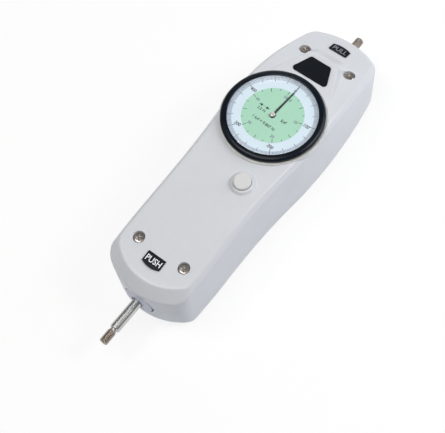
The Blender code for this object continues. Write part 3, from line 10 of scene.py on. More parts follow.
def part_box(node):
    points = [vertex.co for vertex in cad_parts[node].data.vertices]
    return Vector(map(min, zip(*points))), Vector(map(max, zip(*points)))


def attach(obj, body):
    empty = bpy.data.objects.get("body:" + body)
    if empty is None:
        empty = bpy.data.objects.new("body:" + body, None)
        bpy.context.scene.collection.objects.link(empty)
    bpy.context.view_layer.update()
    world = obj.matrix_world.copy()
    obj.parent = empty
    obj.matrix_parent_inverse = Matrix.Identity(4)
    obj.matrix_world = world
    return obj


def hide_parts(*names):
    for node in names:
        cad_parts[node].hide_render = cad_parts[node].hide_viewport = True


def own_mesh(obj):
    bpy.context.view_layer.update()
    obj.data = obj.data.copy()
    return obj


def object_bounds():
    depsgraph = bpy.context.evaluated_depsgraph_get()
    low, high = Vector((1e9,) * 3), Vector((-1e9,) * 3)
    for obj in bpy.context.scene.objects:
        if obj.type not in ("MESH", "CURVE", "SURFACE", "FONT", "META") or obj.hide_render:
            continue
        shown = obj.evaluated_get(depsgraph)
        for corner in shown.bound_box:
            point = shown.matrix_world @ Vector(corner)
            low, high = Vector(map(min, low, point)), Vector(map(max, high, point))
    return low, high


# Looks of an analog push and pull force gauge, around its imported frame
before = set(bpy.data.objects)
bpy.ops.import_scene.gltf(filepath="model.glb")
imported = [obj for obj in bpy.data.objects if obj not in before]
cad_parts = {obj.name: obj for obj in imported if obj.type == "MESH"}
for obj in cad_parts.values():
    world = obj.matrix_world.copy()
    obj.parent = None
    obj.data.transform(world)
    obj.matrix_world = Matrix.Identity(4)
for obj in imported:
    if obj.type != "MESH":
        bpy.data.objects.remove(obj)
cad_low, cad_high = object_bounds()

MM = 0.001
PI = math.pi

# Case: driving sizes, the same as in the solids
ROD_HEIGHT = 21.7 * MM
FACE_HEIGHT = 48.5 * MM
PUSH_END_Y = -101.5 * MM
PULL_END_Y = 102.0 * MM
END_ARC_RADIUS = 40.0 * MM
CORNER_RADIUS = 11.0 * MM
LEAST_CORNER_RADIUS = 1.5 * MM
WALL = 2.5 * MM
GAP = 0.3 * MM
SEAM_GAP = 0.05 * MM
DRAFT = 0.8 * MM
SWELL_HALF = 30.4 * MM
STATION_PLACES = np.array((-94.0, -70.0, -43.5, -23.5, -3.5, 16.5, 38.5, 60.5, 80.5, 96.0)) * MM
STATION_INSETS = np.array((3.2, 2.8, 3.3, 3.1, 2.0, 0.3, 0.0, 1.3, 3.8, 6.8)) * MM
LEVEL_FROM_Y = -20.5 * MM
LEVEL_TO_Y = 34.5 * MM
PUSH_BEND_LENGTH = 30.0 * MM
PUSH_SLOPE_SHARE = 0.105
PULL_BEND_LENGTH = 40.0 * MM
PULL_SLOPE_SHARE = 0.335
SIDE_EDGE_RADIUS = 2.4 * MM
END_EDGE_RADIUS = 4.0 * MM
SIDE_EDGE_DROP = 3.2 * MM
SIDE_EDGE_SOFTNESS = 0.9 * MM
REAR_EDGE_RADIUS = 4.2 * MM
REAR_CORNER_RADIUS = 13.0 * MM
CHAMFER_RUN = 6.6 * MM
CHAMFER_DROP = 5.8 * MM
REAR_CHAMFER_DROP = 7.4 * MM
CHAMFER_SOFTNESS = 1.1 * MM

# Case: steps of the fine skin
SIDE_STEPS = 130
CORNER_STEPS = 18
END_STEPS = 14
EDGE_STEPS = 14
INNER_EDGE_STEPS = 2
FACE_GRID = 2.0 * MM
TONGUE_GUIDES = np.array((-1.4, -0.9, -0.6, -0.4, -0.2, 0, 0.15, 0.3, 0.5, 0.7, 0.9, 1.15, 1.4, 1.7, 2.0, 2.4,
                          2.8, 3.2, 3.7, 4.2, 4.7, 5.2, 5.7, 6.2, 6.7, 7.2, 7.8, 8.6)) * MM
COLLAR_GUIDES = np.array((5.4, 5.6, 5.8, 6.0, 6.15, 6.3, 6.45, 6.6, 6.8, 7.0, 7.15, 7.3, 7.45, 7.6, 7.85,
                          8.2)) * MM
WELL_GUIDES = np.array((-0.03, 0.0, 0.02, 0.06, 0.12, 0.2, 0.35, 0.7)) * MM
WELL_FLOOR_GUIDE = 1.7 * MM
BOUNDARY_MARGIN = 0.3 * MM
HOLE_MARGIN = 0.06 * MM
HOLE_SIDES = 96
SHELL_SMOOTH_ANGLE = 40.0
MERGE_REACH = 0.002 * MM
THIN_REACH = 0.0005 * MM

# Raised tongue behind the dial, and the name plate on it
TONGUE_TOP = 47.7 * MM
TONGUE_ROOT = np.array((26.3, 40.5)) * MM
TONGUE_SHOULDER = np.array((10.9, 71.6)) * MM
TONGUE_TIP = np.array((6.4, 74.9)) * MM
TONGUE_INNER = np.array((18.0, 24.5)) * MM
TONGUE_SIDE_FLARE_SHARE = 0.38
TONGUE_TIP_FLARE_SHARE = 0.92
TONGUE_EDGE_SOFTNESS = 0.45 * MM
TONGUE_FOOT_SOFTNESS = 0.5 * MM
PLATE_NEAR = np.array((12.8, 58.1)) * MM
PLATE_FAR = np.array((7.0, 71.3)) * MM
PLATE_CORNER = 2.0 * MM
PLATE_SUNK = 0.6 * MM
POCKET_GROW = 0.95 * GAP

# Screw wells, the button with its collar and its spring
SCREW_X = 15.9 * MM
SCREW_YS = (-76.7 * MM, 76.8 * MM)
WELL_RADIUS = 3.5 * MM
WELL_DEPTH = 3.2 * MM
WELL_ROUNDING = 0.35 * MM
BOSS_RADIUS = 5.2 * MM
BUTTON_X = 11.8 * MM
BUTTON_Y = -19.0 * MM
SPRING_WIRE = 0.35 * MM
SPRING_TURNS = 5
SPRING_STEPS = 24
BUTTON_RADIUS = 5.1 * MM
BUTTON_HOLE_RADIUS = 5.25 * MM
COLLAR_BASE_RADIUS = 7.4 * MM
COLLAR_TOP_RADIUS = 6.3 * MM
COLLAR_HEIGHT = 1.7 * MM
COLLAR_EDGE_SOFTNESS = 0.5 * MM
COLLAR_FOOT_SOFTNESS = 0.7 * MM

# Dial and bezel, from the frame
bezel_low, bezel_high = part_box("bezel_ring")
DIAL_Y = (bezel_low.y + bezel_high.y) / 2
BEZEL_RADIUS = (bezel_high.x - bezel_low.x) / 2
BEZEL_BOTTOM = bezel_low.z
BEZEL_TOP = bezel_high.z
DIAL_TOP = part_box("dial_plate")[1].z
SEAT_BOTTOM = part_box("bezel_seat_ring")[0].z
DIAL_AXIS = (0, DIAL_Y, 0)
DIAL_TURN = math.radians(-3.0)
POINTER_TURN = math.radians(-4.0)
OUTER_STEP = 360 / 500
INNER_STEP = 353 / 50
PRINT_THICKNESS = 0.02 * MM
PRINT_BASE = DIAL_TOP + 0.004 * MM
GREEN_RADIUS = 18.0 * MM
# Inner and outer radius of the pale blue ring of painted shade: the shade the bezel's inner wall casts on the
# dial's edge
SHADE_RING_RADIUS = 23.6 * MM
SHADE_RING_OUTER_RADIUS = 27.2 * MM
LETTER_SHARE = 0.69
LETTER_WEIGHT = 0.028

# Rod and bearings
ROD_AXIS = (0, 0, ROD_HEIGHT)
ROD_RADIUS = 3.0 * MM
THREAD_RADIUS = 2.6 * MM
THREAD_LENGTH = 8.3 * MM
THREAD_PITCH = 0.8 * MM
THREAD_DEPTH = 0.34 * MM
RELIEF_RADIUS = 2.1 * MM
RELIEF_LENGTH = 1.2 * MM
BEARING_BORE = 4.4 * MM
FLANGE_PROUD = 1.3 * MM
FLANGE_OUT = 1.0 * MM
FLANGE_DOME_RADIUS = 30.0 * MM
FLANGE_THICKNESS = 4.0 * MM
NECK_INSET = 1.7 * MM
SEAT_CLEARANCE = 0.8 * MM
SEAT_STEP = 4.3 * MM
SEAT_NECK_INSET = 2.0 * MM

# Floor and light: shares of full white, and each lamp's place, power in watts, width and colour
FULL_WHITE = (1, 1, 1, 1)
FLOOR_TINT = (0.74, 0.77, 0.83, 1)
FLOOR_GLOW = 0.82
FLOOR_FADE = (0.25, 0.75)
FLOOR_HALF = 6.0
FLOOR_DROP = 0.05 * MM
ROOM_TINT = (0.97, 0.985, 1.0, 1)
ROOM_LIGHT = 0.18
BACKDROP_FULL = 0.02
BACKDROP_GONE = 0.08
LAMPS = (
    ("left_lamp", (-0.42, -0.28, 1.15), 3.2, 0.35, (1.0, 0.99, 0.97)),
    ("top_lamp", (0.05, -0.40, 1.30), 5.2, 0.70, (1.0, 1.0, 0.98)),
    ("far_lamp", (-0.80, 0.98, 0.66), 1.5, 0.70, (1.0, 0.99, 0.98)),
    ("right_lamp", (0.70, 0.44, 0.92), 4.4, 0.45, (1.0, 0.99, 0.97)),
    ("side_lamp", (0.32, 0.38, 0.28), 0.8, 0.30, (0.90, 0.95, 1.0)),
)
LAMP_AIM = (0, 0, 0.03)

# Camera: its place in metres, its axes, and its lens and sensor in millimetres
CAMERA_PLACE = (0.2217, -0.2391, 0.6259)
CAMERA_RIGHT = (0.7853, 0.6152, -0.0701)
CAMERA_UP = (-0.5298, 0.7262, 0.4381)
CAMERA_LENS = 95.46
CAMERA_SENSOR = 36.0


# Meshes from arrays

def placed(name, data):
    """A new object of the scene, at the origin."""
    thing = bpy.data.objects.new(name, data)
    bpy.context.scene.collection.objects.link(thing)
    return thing


def worked(mesh, work):
    """Runs one step of work on a mesh as a bmesh."""
    shape = bmesh.new()
    shape.from_mesh(mesh)
    work(shape)
    shape.to_mesh(mesh)
    shape.free()


def merge(shape):
    """Joins points that lie together and drops edges and faces of no size."""
    bmesh.ops.remove_doubles(shape, verts=shape.verts, dist=MERGE_REACH)
    bmesh.ops.dissolve_degenerate(shape, edges=shape.edges, dist=THIN_REACH)


def mesh_piece(name, points, faces, finish, body="root", smooth_angle=35.0, slot=None):
    """One object from points and faces: doubles merged, smooth up to an angle, faces outward."""
    mesh = bpy.data.meshes.new(name)
    mesh.from_pydata(np.asarray(points, float).tolist(), [], [list(map(int, f)) for f in faces])
    worked(mesh, merge)
    thing = placed(name, mesh)
    shade(thing, smooth_angle)
    mesh.materials.append(finish)
    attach(thing, body)
    worked(mesh, lambda shape: bmesh.ops.recalc_face_normals(shape, faces=shape.faces))
    return thing


def shade(thing, angle):
    """Makes all faces smooth and keeps the edges over an angle sharp."""
    mesh = thing.data
    mesh.polygons.foreach_set("use_smooth", np.ones(len(mesh.polygons), bool))
    mesh.set_sharp_from_angle(angle=math.radians(angle))
    mesh.update()


def grid_faces(rows, columns, flip=False):
    """Quads between neighbouring rows of a grid whose columns close into a ring."""
    r, c = np.meshgrid(np.arange(rows - 1), np.arange(columns), indexing="ij")
    n = (c + 1) % columns
    quads = np.stack([r * columns + c, r * columns + n, (r + 1) * columns + n, (r + 1) * columns + c], -1)
    quads = quads.reshape(-1, 4)
    return quads[:, ::-1] if flip else quads


def joined(*parts):
    """Points and faces of several (points, faces) pairs as one pair."""
    points, faces, count = [], [], 0
    for some_points, some_faces in parts:
        points.append(np.asarray(some_points, float).reshape(-1, 3))
        faces += [np.asarray(f, int) + count for f in some_faces]
        count += len(points[-1])
    return np.concatenate(points), faces


def parabola(start, middle, stop, count):
    """Points from start to stop on the parabola whose end tangents meet in the middle point."""
    t = np.linspace(0, 1, count)[:, None]
    return (1 - t) ** 2 * start + 2 * t * (1 - t) * middle + t**2 * stop


def soft_profile(corners, steps=5):
    """An open profile of (radius, height, rounding) corners, each turned into a small parabola.

    The rounding is in millimetres.
    """
    corners = np.asarray(corners, float)
    made = []
    for i, (r, h, rounding) in enumerate(corners):
        here = np.array((r, h))
        if rounding == 0 or i in (0, len(corners) - 1):
            made.append(here)
            continue
        before, after = corners[i - 1, :2] - here, corners[i + 1, :2] - here
        before_length, after_length = np.linalg.norm(before), np.linalg.norm(after)
        reach = min(rounding * MM, before_length / 2, after_length / 2)
        start = here + before / before_length * reach
        stop = here + after / after_length * reach
        made += list(parabola(start, here, stop, steps + 1))
    return np.array(made)


def turns(count):
    """Even turns round a circle, from zero on and without the whole one."""
    return np.linspace(0, 2 * PI, count, endpoint=False)


def spun(profile, sides, centre, axis="Z"):
    """Points of a profile turned about an axis: radius times cosine and sine, and height along the axis."""
    profile = np.asarray(profile, float)
    turn = turns(sides)
    r, h = profile[:, :1], profile[:, 1:2]
    a, b, c = r * np.cos(turn), r * np.sin(turn), h + np.zeros_like(turn)
    grid = np.stack([a, b, c] if axis == "Z" else [b, c, a], -1)
    return (grid + np.array(centre)).reshape(-1, 3)


def turned(name, profile, finish, centre, axis="Z", sides=128, body="root", closed=False, **more):
    """A turned piece; an open profile starts and ends on the axis, a closed one is a ring."""
    profile = np.asarray(profile, float)
    if closed:
        profile = np.concatenate([profile, profile[:1]])
    points = spun(profile, sides, centre, axis)
    return mesh_piece(name, points, grid_faces(len(profile), sides), finish, body, **more)


def final_mesh(thing):
    """A new mesh of an object as its curve or its modifiers make it."""
    bpy.context.view_layer.update()
    seen = thing.evaluated_get(bpy.context.evaluated_depsgraph_get())
    return bpy.data.meshes.new_from_object(seen)


def curve_mesh(curve):
    """The mesh of a curve or text, as points and faces; the curve itself is removed."""
    thing = placed("outline_work", curve)
    mesh = final_mesh(thing)
    points = np.zeros(len(mesh.vertices) * 3)
    mesh.vertices.foreach_get("co", points)
    faces = [np.array(p.vertices[:]) for p in mesh.polygons]
    bpy.data.objects.remove(thing)
    bpy.data.meshes.remove(mesh)
    return points.reshape(-1, 3), faces


def flat_plate(outline, thickness, rounding):
    """Points and faces of a plate with a soft upper edge: its outline as a filled, bevelled curve."""
    curve = bpy.data.curves.new("plate_outline", "CURVE")
    curve.dimensions = "2D"
    curve.fill_mode = "BOTH"
    curve.extrude = thickness / 2 - rounding
    curve.bevel_depth = rounding
    curve.bevel_resolution = 3
    curve.offset = -rounding
    spline = curve.splines.new("POLY")
    spline.points.add(len(outline) - 1)
    flat = np.column_stack([outline, np.zeros(len(outline)), np.ones(len(outline))])
    spline.points.foreach_set("co", flat.ravel())
    spline.use_cyclic_u = True
    return curve_mesh(curve)


def lettering(words, height, middle, level, thickness=PRINT_THICKNESS, weight=LETTER_WEIGHT, wide=1.0):
    """Points and faces of centred words lying flat at a level; height is that of a capital letter."""
    curve = bpy.data.curves.new("words", "FONT")
    curve.body = words
    curve.size = height / LETTER_SHARE
    curve.align_x = "CENTER"
    curve.extrude = thickness / 2
    curve.offset = weight * height
    curve.resolution_u = 3
    points, faces = curve_mesh(curve)
    points[:, 0] *= wide
    points[:, 1] -= height / 2
    points += (*middle, level)
    return points, faces


# The case's form

def half_width(y):
    """The waisted half width along Y: cubic Hermite spans whose slopes come from the next stations."""
    halves = SWELL_HALF - STATION_INSETS
    slopes = np.empty_like(halves)
    slopes[1:-1] = (halves[2:] - halves[:-2]) / (STATION_PLACES[2:] - STATION_PLACES[:-2])
    slopes[0] = (halves[1] - halves[0]) / (STATION_PLACES[1] - STATION_PLACES[0])
    slopes[-1] = (halves[-1] - halves[-2]) / (STATION_PLACES[-1] - STATION_PLACES[-2])
    y = np.asarray(y, float)
    k = np.clip(np.searchsorted(STATION_PLACES, y) - 1, 0, len(halves) - 2)
    span = STATION_PLACES[k + 1] - STATION_PLACES[k]
    t = np.clip((y - STATION_PLACES[k]) / span, 0, 1)
    bend = slopes[k] * (t - 2 * t * t + t**3) + slopes[k + 1] * (t**3 - t * t)
    return halves[k] + (halves[k + 1] - halves[k]) * t * t * (3 - 2 * t) + span * bend


def half_width_slope(y):
    """The half width's change along Y, taken over a millimetre to each side."""
    return (half_width(y + MM) - half_width(y - MM)) / (2 * MM)


def face_height(y):
    """The face is level by the dial, bends down as a parabola and runs on straight."""
    y = np.asarray(y, float)
    pull = np.maximum(y - LEVEL_TO_Y, 0)
    push = np.maximum(LEVEL_FROM_Y - y, 0)

    def fall(run, bend, slope):
        return np.where(run < bend, slope * run * run / (2 * bend), slope * (run - bend / 2))

    fall_pull = fall(pull, PULL_BEND_LENGTH, PULL_SLOPE_SHARE)
    return FACE_HEIGHT - fall_pull - fall(push, PUSH_BEND_LENGTH, PUSH_SLOPE_SHARE)


def corner_arc(end_y, side, wall_inset, end_inset, corner):
    """The arc that touches the long side and the end arc, found by halving along the side."""
    arc_y = end_y - side * END_ARC_RADIUS
    radius = np.maximum(corner - wall_inset, LEAST_CORNER_RADIUS)
    reach = END_ARC_RADIUS - end_inset - radius
    near = np.full_like(reach, arc_y)
    far = np.full_like(reach, end_y)
    for _ in range(30):
        y = (near + far) / 2
        lean = np.arctan(-side * half_width_slope(y))
        x_centre = half_width(y) - wall_inset - radius * np.cos(lean)
        y_centre = y - side * radius * np.sin(lean)
        inside = np.hypot(x_centre, y_centre - arc_y) < reach
        near = np.where(inside, y, near)
        far = np.where(inside, far, y)
    return x_centre, y_centre, lean, np.arctan2(abs(y_centre - arc_y), x_centre), radius


def end_run(end_y, side, wall, end, corner):
    """From the corner's start on the long side round to the middle of the end, for each ring.

    Round the corner the drop goes from the wall's to the end's as a smooth step.
    """
    x, y, start, stop, radius = (v[:, None] for v in corner_arc(end_y, side, wall[:, 0], end[:, 0], corner))
    share = np.linspace(0, 1, CORNER_STEPS, endpoint=False)
    angle = start + (stop - start) * share
    drop = wall[:, 1:] + (end[:, 1:] - wall[:, 1:]) * share * share * (3 - 2 * share)
    bend = np.stack([x + radius * np.cos(angle), y + side * radius * np.sin(angle), drop], -1)
    angle = stop + (PI / 2 - stop) * np.linspace(0, 1, END_STEPS + 1)
    reach = END_ARC_RADIUS - end[:, :1]
    arc_y = end_y - side * END_ARC_RADIUS
    end_drop = end[:, 1:] + np.zeros_like(angle)
    arc = np.stack([reach * np.cos(angle), arc_y + side * reach * np.sin(angle), end_drop], -1)
    arc[:, -1, 0] = 0
    return np.concatenate([bend, arc], 1)


def case_rings(wall, push, pull, corner=CORNER_RADIUS):
    """Closed plan outlines as (ring, point, x y drop), one for each row of insets and drops."""
    push_run = end_run(PUSH_END_Y, -1, wall, push, corner)
    pull_run = end_run(PULL_END_Y, 1, wall, pull, corner)
    share = np.linspace(0, 1, SIDE_STEPS + 1)[1:-1]
    first, last = push_run[:, :1, 1], pull_run[:, :1, 1]
    y = first + (last - first) * share
    side = np.stack([half_width(y) - wall[:, :1], y, wall[:, 1:] + np.zeros_like(y)], -1)
    right = np.concatenate([push_run[:, ::-1], side, pull_run], 1)
    left = right[:, 1:-1][:, ::-1] * np.array((-1, 1, 1))
    return np.concatenate([right, left], 1)


def quarter(radius, steps):
    """Inset and drop along a quarter round edge, from the wall to the face."""
    turn = np.linspace(0, PI / 2, steps + 1)
    return np.stack([radius * (1 - np.cos(turn)), radius * (1 - np.sin(turn))], -1)


def chamfer(run, drop, soft, steps):
    """Inset and drop along a chamfer whose two edges are short parabolas."""
    slope = np.array((run, -drop)) / math.hypot(run, drop)
    low, high = np.array((0.0, drop)), np.array((run, 0.0))
    half = steps // 2
    first = parabola(low + (0, soft), low, low + slope * soft, half)
    last = parabola(high - slope * soft, high, high + (soft, 0), steps + 1 - half)
    return np.concatenate([first, last])


def shell_rings(front, skin, steps):
    """Rings of one skin of a half case, from the seam to its face."""
    sign = 1 if front else -1
    seam = np.array([[skin + DRAFT / 2, 0.0]])
    seam_ring = case_rings(seam, seam, seam)
    seam_ring[..., 2] = ROD_HEIGHT + sign * SEAM_GAP / 2
    extra = np.array((skin + (0 if front else DRAFT), 0.0))
    if front:
        wall = chamfer(SIDE_EDGE_RADIUS, SIDE_EDGE_DROP, SIDE_EDGE_SOFTNESS, steps) + extra
        push = chamfer(CHAMFER_RUN, CHAMFER_DROP, CHAMFER_SOFTNESS, steps) + extra
        pull = quarter(END_EDGE_RADIUS, steps) + extra
        rings = case_rings(wall, push, pull)
        rings[..., 2] = face_height(rings[..., 1]) - skin - rings[..., 2]
    else:
        wall = quarter(REAR_EDGE_RADIUS, steps) + extra
        ends = chamfer(CHAMFER_RUN, REAR_CHAMFER_DROP, CHAMFER_SOFTNESS, steps) + extra
        rings = case_rings(wall, ends, ends, REAR_CORNER_RADIUS)
        rings[..., 2] = skin + rings[..., 2]
    return np.concatenate([seam_ring, rings])


# The face as a height over its plan, with all that rises from it or is cut into it

def softer_max(a, b, soft):
    """The higher of two heights, with a parabola of the given reach where they cross."""
    return np.maximum(a, b) + np.maximum(soft - abs(a - b), 0) ** 2 / (4 * soft)


def softer_min(a, b, soft):
    """The lower of two heights, with a parabola of the given reach where they cross."""
    return np.minimum(a, b) - np.maximum(soft - abs(a - b), 0) ** 2 / (4 * soft)


def outline_distance(x, y, outline):
    """Distance from a closed outline, negative inside, and the outward slant along Y."""
    best = np.full(x.shape, 1.0)
    along_y = np.zeros(x.shape)
    inside = np.zeros(x.shape, bool)
    for a, b in zip(outline, np.roll(outline, -1, 0)):
        edge = b - a
        t = np.clip(((x - a[0]) * edge[0] + (y - a[1]) * edge[1]) / (edge @ edge), 0, 1)
        dx, dy = x - a[0] - t * edge[0], y - a[1] - t * edge[1]
        reach = np.hypot(dx, dy)
        closer = reach < best
        best = np.where(closer, reach, best)
        along_y = np.where(closer, dy / np.maximum(reach, 1e-9), along_y)
        crosses = (a[1] > y) != (b[1] > y)
        with np.errstate(divide="ignore", invalid="ignore"):
            meet = a[0] + (y - a[1]) * edge[0] / edge[1]
        inside ^= crosses & (x < meet)
    return np.where(inside, -best, best), along_y


def tongue_outline():
    """Half outline of the tongue's flat top, its far corner a quarter ellipse, and its mirror image."""
    side = TONGUE_ROOT + (TONGUE_SHOULDER - TONGUE_ROOT) * np.linspace(0, 1, 12)[:, None]
    turn = np.linspace(0, PI / 2, 10)[1:]
    reach = np.array((TONGUE_SHOULDER[0] - TONGUE_TIP[0], TONGUE_TIP[1] - TONGUE_SHOULDER[1]))
    centre = np.array((TONGUE_TIP[0], TONGUE_SHOULDER[1]))
    corner = centre + reach * np.stack([np.cos(turn), np.sin(turn)], -1)
    right = np.concatenate([TONGUE_INNER[None], side, corner])
    return np.concatenate([right, right[::-1] * (-1, 1)])


def plate_outline(grow=0.0, steps=6):
    """A trapezoid with round corners: each corner is an arc of the plate's corner radius."""
    near, far, corner = PLATE_NEAR, PLATE_FAR, PLATE_CORNER
    corners = np.array(((-near[0], near[1]), (near[0], near[1]), (far[0], far[1]), (-far[0], far[1])))
    made = []
    for i, here in enumerate(corners):
        before, after = corners[i - 1] - here, corners[(i + 1) % 4] - here
        before, after = before / np.linalg.norm(before), after / np.linalg.norm(after)
        half = math.acos(np.clip(before @ after, -1, 1)) / 2
        centre = here + (before + after) / np.linalg.norm(before + after) * corner / math.sin(half)
        start = math.atan2(*(here + before * corner / math.tan(half) - centre)[::-1])
        stop = math.atan2(*(here + after * corner / math.tan(half) - centre)[::-1])
        turn = start + (stop - start) % (2 * PI) * np.linspace(0, 1, steps + 1)
        made.append(centre + (corner + grow) * np.stack([np.cos(turn), np.sin(turn)], -1))
    return np.concatenate(made)


def circle(radius, centre, count):
    """Points of a circle: its centre plus radius times cosine and sine of even turns."""
    turn = turns(count)
    return np.array(centre) + radius * np.stack([np.cos(turn), np.sin(turn)], -1)


def well_places():
    """The places of the four screw wells, mirrored over the middle."""
    return [(side * SCREW_X, y) for y in SCREW_YS for side in (-1, 1)]


def face_form(x, y):
    """Height of the painted face: base, tongue, pocket, collar and the rims of the screw wells."""
    z = face_height(y)
    away, slant = outline_distance(x, y, tongue_outline())
    flare = TONGUE_SIDE_FLARE_SHARE + (TONGUE_TIP_FLARE_SHARE - TONGUE_SIDE_FLARE_SHARE) * slant**2
    tongue = softer_min(TONGUE_TOP, TONGUE_TOP - away / flare, TONGUE_EDGE_SOFTNESS)
    z = softer_max(z, tongue, TONGUE_FOOT_SOFTNESS)
    pocket, _ = outline_distance(x, y, plate_outline())
    z = np.where(pocket < POCKET_GROW, TONGUE_TOP - PLATE_SUNK, z)
    reach = np.hypot(x - BUTTON_X, y - BUTTON_Y)
    rise = COLLAR_HEIGHT * (COLLAR_BASE_RADIUS - reach) / (COLLAR_BASE_RADIUS - COLLAR_TOP_RADIUS)
    collar = softer_min(FACE_HEIGHT + COLLAR_HEIGHT, FACE_HEIGHT + rise, COLLAR_EDGE_SOFTNESS)
    z = softer_max(z, collar, COLLAR_FOOT_SOFTNESS)
    for well_x, well_y in well_places():
        edge = np.hypot(x - well_x, y - well_y) - WELL_RADIUS
        inward = np.clip(WELL_ROUNDING - edge, 0, WELL_ROUNDING)
        z = z - (WELL_ROUNDING - np.sqrt(WELL_ROUNDING**2 - inward**2))
        z = np.where(edge < -0.02 * MM, face_height(well_y) - WELL_DEPTH, z)
    return z


def ceiling_form(x, y):
    """Height of the inner skin under the face, deeper at the screw bosses."""
    z = face_height(y) - WALL
    for well_x, well_y in well_places():
        share = np.clip((BOSS_RADIUS + MM - np.hypot(x - well_x, y - well_y)) / MM, 0, 1)
        z = z - WALL * share * share * (3 - 2 * share)
    return z


def filled(boundary, guides, height, hole):
    """Triangles of the plan inside a boundary, through the guide points and round a hole, at a height."""
    flat = np.concatenate([boundary, guides, hole]) / MM
    loop = []
    for first, count in ((0, len(boundary)), (len(flat) - len(hole), len(hole))):
        loop += [(first + i, first + (i + 1) % count) for i in range(count)]
    plan, _, faces, _, _, _ = delaunay_2d_cdt([Vector(p) for p in flat], loop, [], 1, 1e-4)
    plan = np.array([tuple(p) for p in plan]) * MM
    faces = np.array([f[:] for f in faces if len(f) == 3])
    middle = plan[faces].mean(1)
    keep = np.hypot(middle[:, 0] - BUTTON_X, middle[:, 1] - BUTTON_Y) > BUTTON_HOLE_RADIUS - 0.01 * MM
    points = np.column_stack([plan, height(plan[:, 0], plan[:, 1])])
    return points, faces[keep]


def tongue_guides():
    """Guide points in bands along the tongue's edge, at growing distances inside and outside it."""
    outline = tongue_outline()
    half = outline[1:len(outline) // 2]
    length = np.concatenate([[0], np.cumsum(np.linalg.norm(np.diff(half, axis=0), axis=1))])
    at = np.linspace(0, length[-1], 64)
    half = np.column_stack([np.interp(at, length, half[:, k]) for k in (0, 1)])
    along = np.gradient(half, axis=0)
    normal = np.column_stack([along[:, 1], -along[:, 0]]) / np.linalg.norm(along, axis=1)[:, None]
    normal[-1] = (0.0, 1.0)
    bands = (half[None] + normal[None] * TONGUE_GUIDES[:, None, None]).reshape(-1, 2)
    bands = bands[bands[:, 0] > 0.1 * MM]
    across = np.linspace(-TONGUE_TIP[0], TONGUE_TIP[0], 15)[1:-1]
    tip = np.stack(np.meshgrid(across, TONGUE_TIP[1] + TONGUE_GUIDES), -1).reshape(-1, 2)
    return [bands, bands * (-1, 1), tip]


def face_guides(boundary):
    """Guide points: a plain grid, and close rings where the face bends or steps."""
    guides = tongue_guides() + [plate_outline(GAP), plate_outline(GAP * 0.9)]
    guides += [circle(radius, (BUTTON_X, BUTTON_Y), HOLE_SIDES) for radius in COLLAR_GUIDES]
    for place in well_places():
        guides += [circle(WELL_RADIUS + reach, place, 64) for reach in WELL_GUIDES]
        guides.append(circle(WELL_FLOOR_GUIDE, place, 16))
    special = np.concatenate(guides)
    x = np.arange(-SWELL_HALF, SWELL_HALF, FACE_GRID)
    y = np.arange(PUSH_END_Y, PULL_END_Y, FACE_GRID)
    plain = np.stack(np.meshgrid(x, y), -1).reshape(-1, 2) + FACE_GRID / 2
    gap = np.array([np.linalg.norm(special - place, axis=1).min() for place in plain])
    points = np.concatenate([special, plain[gap > FACE_GRID * 0.4]])
    away, _ = outline_distance(points[:, 0], points[:, 1], boundary)
    from_hole = np.hypot(points[:, 0] - BUTTON_X, points[:, 1] - BUTTON_Y) - BUTTON_HOLE_RADIUS
    return points[(away < -BOUNDARY_MARGIN) & (from_hole >= HOLE_MARGIN)]


def half_case(name, finish, outer, outer_cap, inner, inner_cap, *more):
    """A half case: its outer and inner walls, what closes each, and the rim between them."""
    count = outer.shape[1]
    rim = np.concatenate([outer[0], inner[0]])
    points, faces = joined(
        (outer, grid_faces(len(outer), count)),
        outer_cap,
        (inner, grid_faces(len(inner), count, flip=True)),
        inner_cap,
        *more,
        (rim, grid_faces(2, count, flip=True)),
    )
    shell = mesh_piece(name, points, faces, finish, slot="case_paint")
    cut_bearing_seats(shell)
    return shell


def front_case(finish):
    """The front half case: a face of heights, an inner skin under it and the button's hole."""
    outer = shell_rings(True, 0.0, EDGE_STEPS)
    inner = shell_rings(True, WALL, INNER_EDGE_STEPS)
    hole = circle(BUTTON_HOLE_RADIUS, (BUTTON_X, BUTTON_Y), HOLE_SIDES)
    boundary, inner_boundary = outer[-1, :, :2], inner[-1, :, :2]
    face = filled(boundary, face_guides(boundary), face_form, hole)
    ceiling, ceiling_faces = filled(inner_boundary, face_guides(inner_boundary)[::3], ceiling_form, hole)
    throat = [np.column_stack([hole, form(hole[:, 0], hole[:, 1])]) for form in (face_form, ceiling_form)]
    shell = half_case("front_case", finish, outer, face, inner, (ceiling, ceiling_faces[:, ::-1]),
                      (np.concatenate(throat), grid_faces(2, HOLE_SIDES)))
    add_dial_boss(shell)
    shade(shell, SHELL_SMOOTH_ANGLE)
    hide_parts("front_shell")


def rear_case(finish):
    """The rear half case, whose flat back closes the loft."""
    outer = shell_rings(False, 0.0, EDGE_STEPS)
    inner = shell_rings(False, WALL, INNER_EDGE_STEPS)
    back = [np.arange(outer.shape[1])]
    shell = half_case("rear_case", finish, outer, (outer[-1], back), inner, (inner[-1], back))
    shade(shell, SHELL_SMOOTH_ANGLE)
    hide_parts("rear_shell")


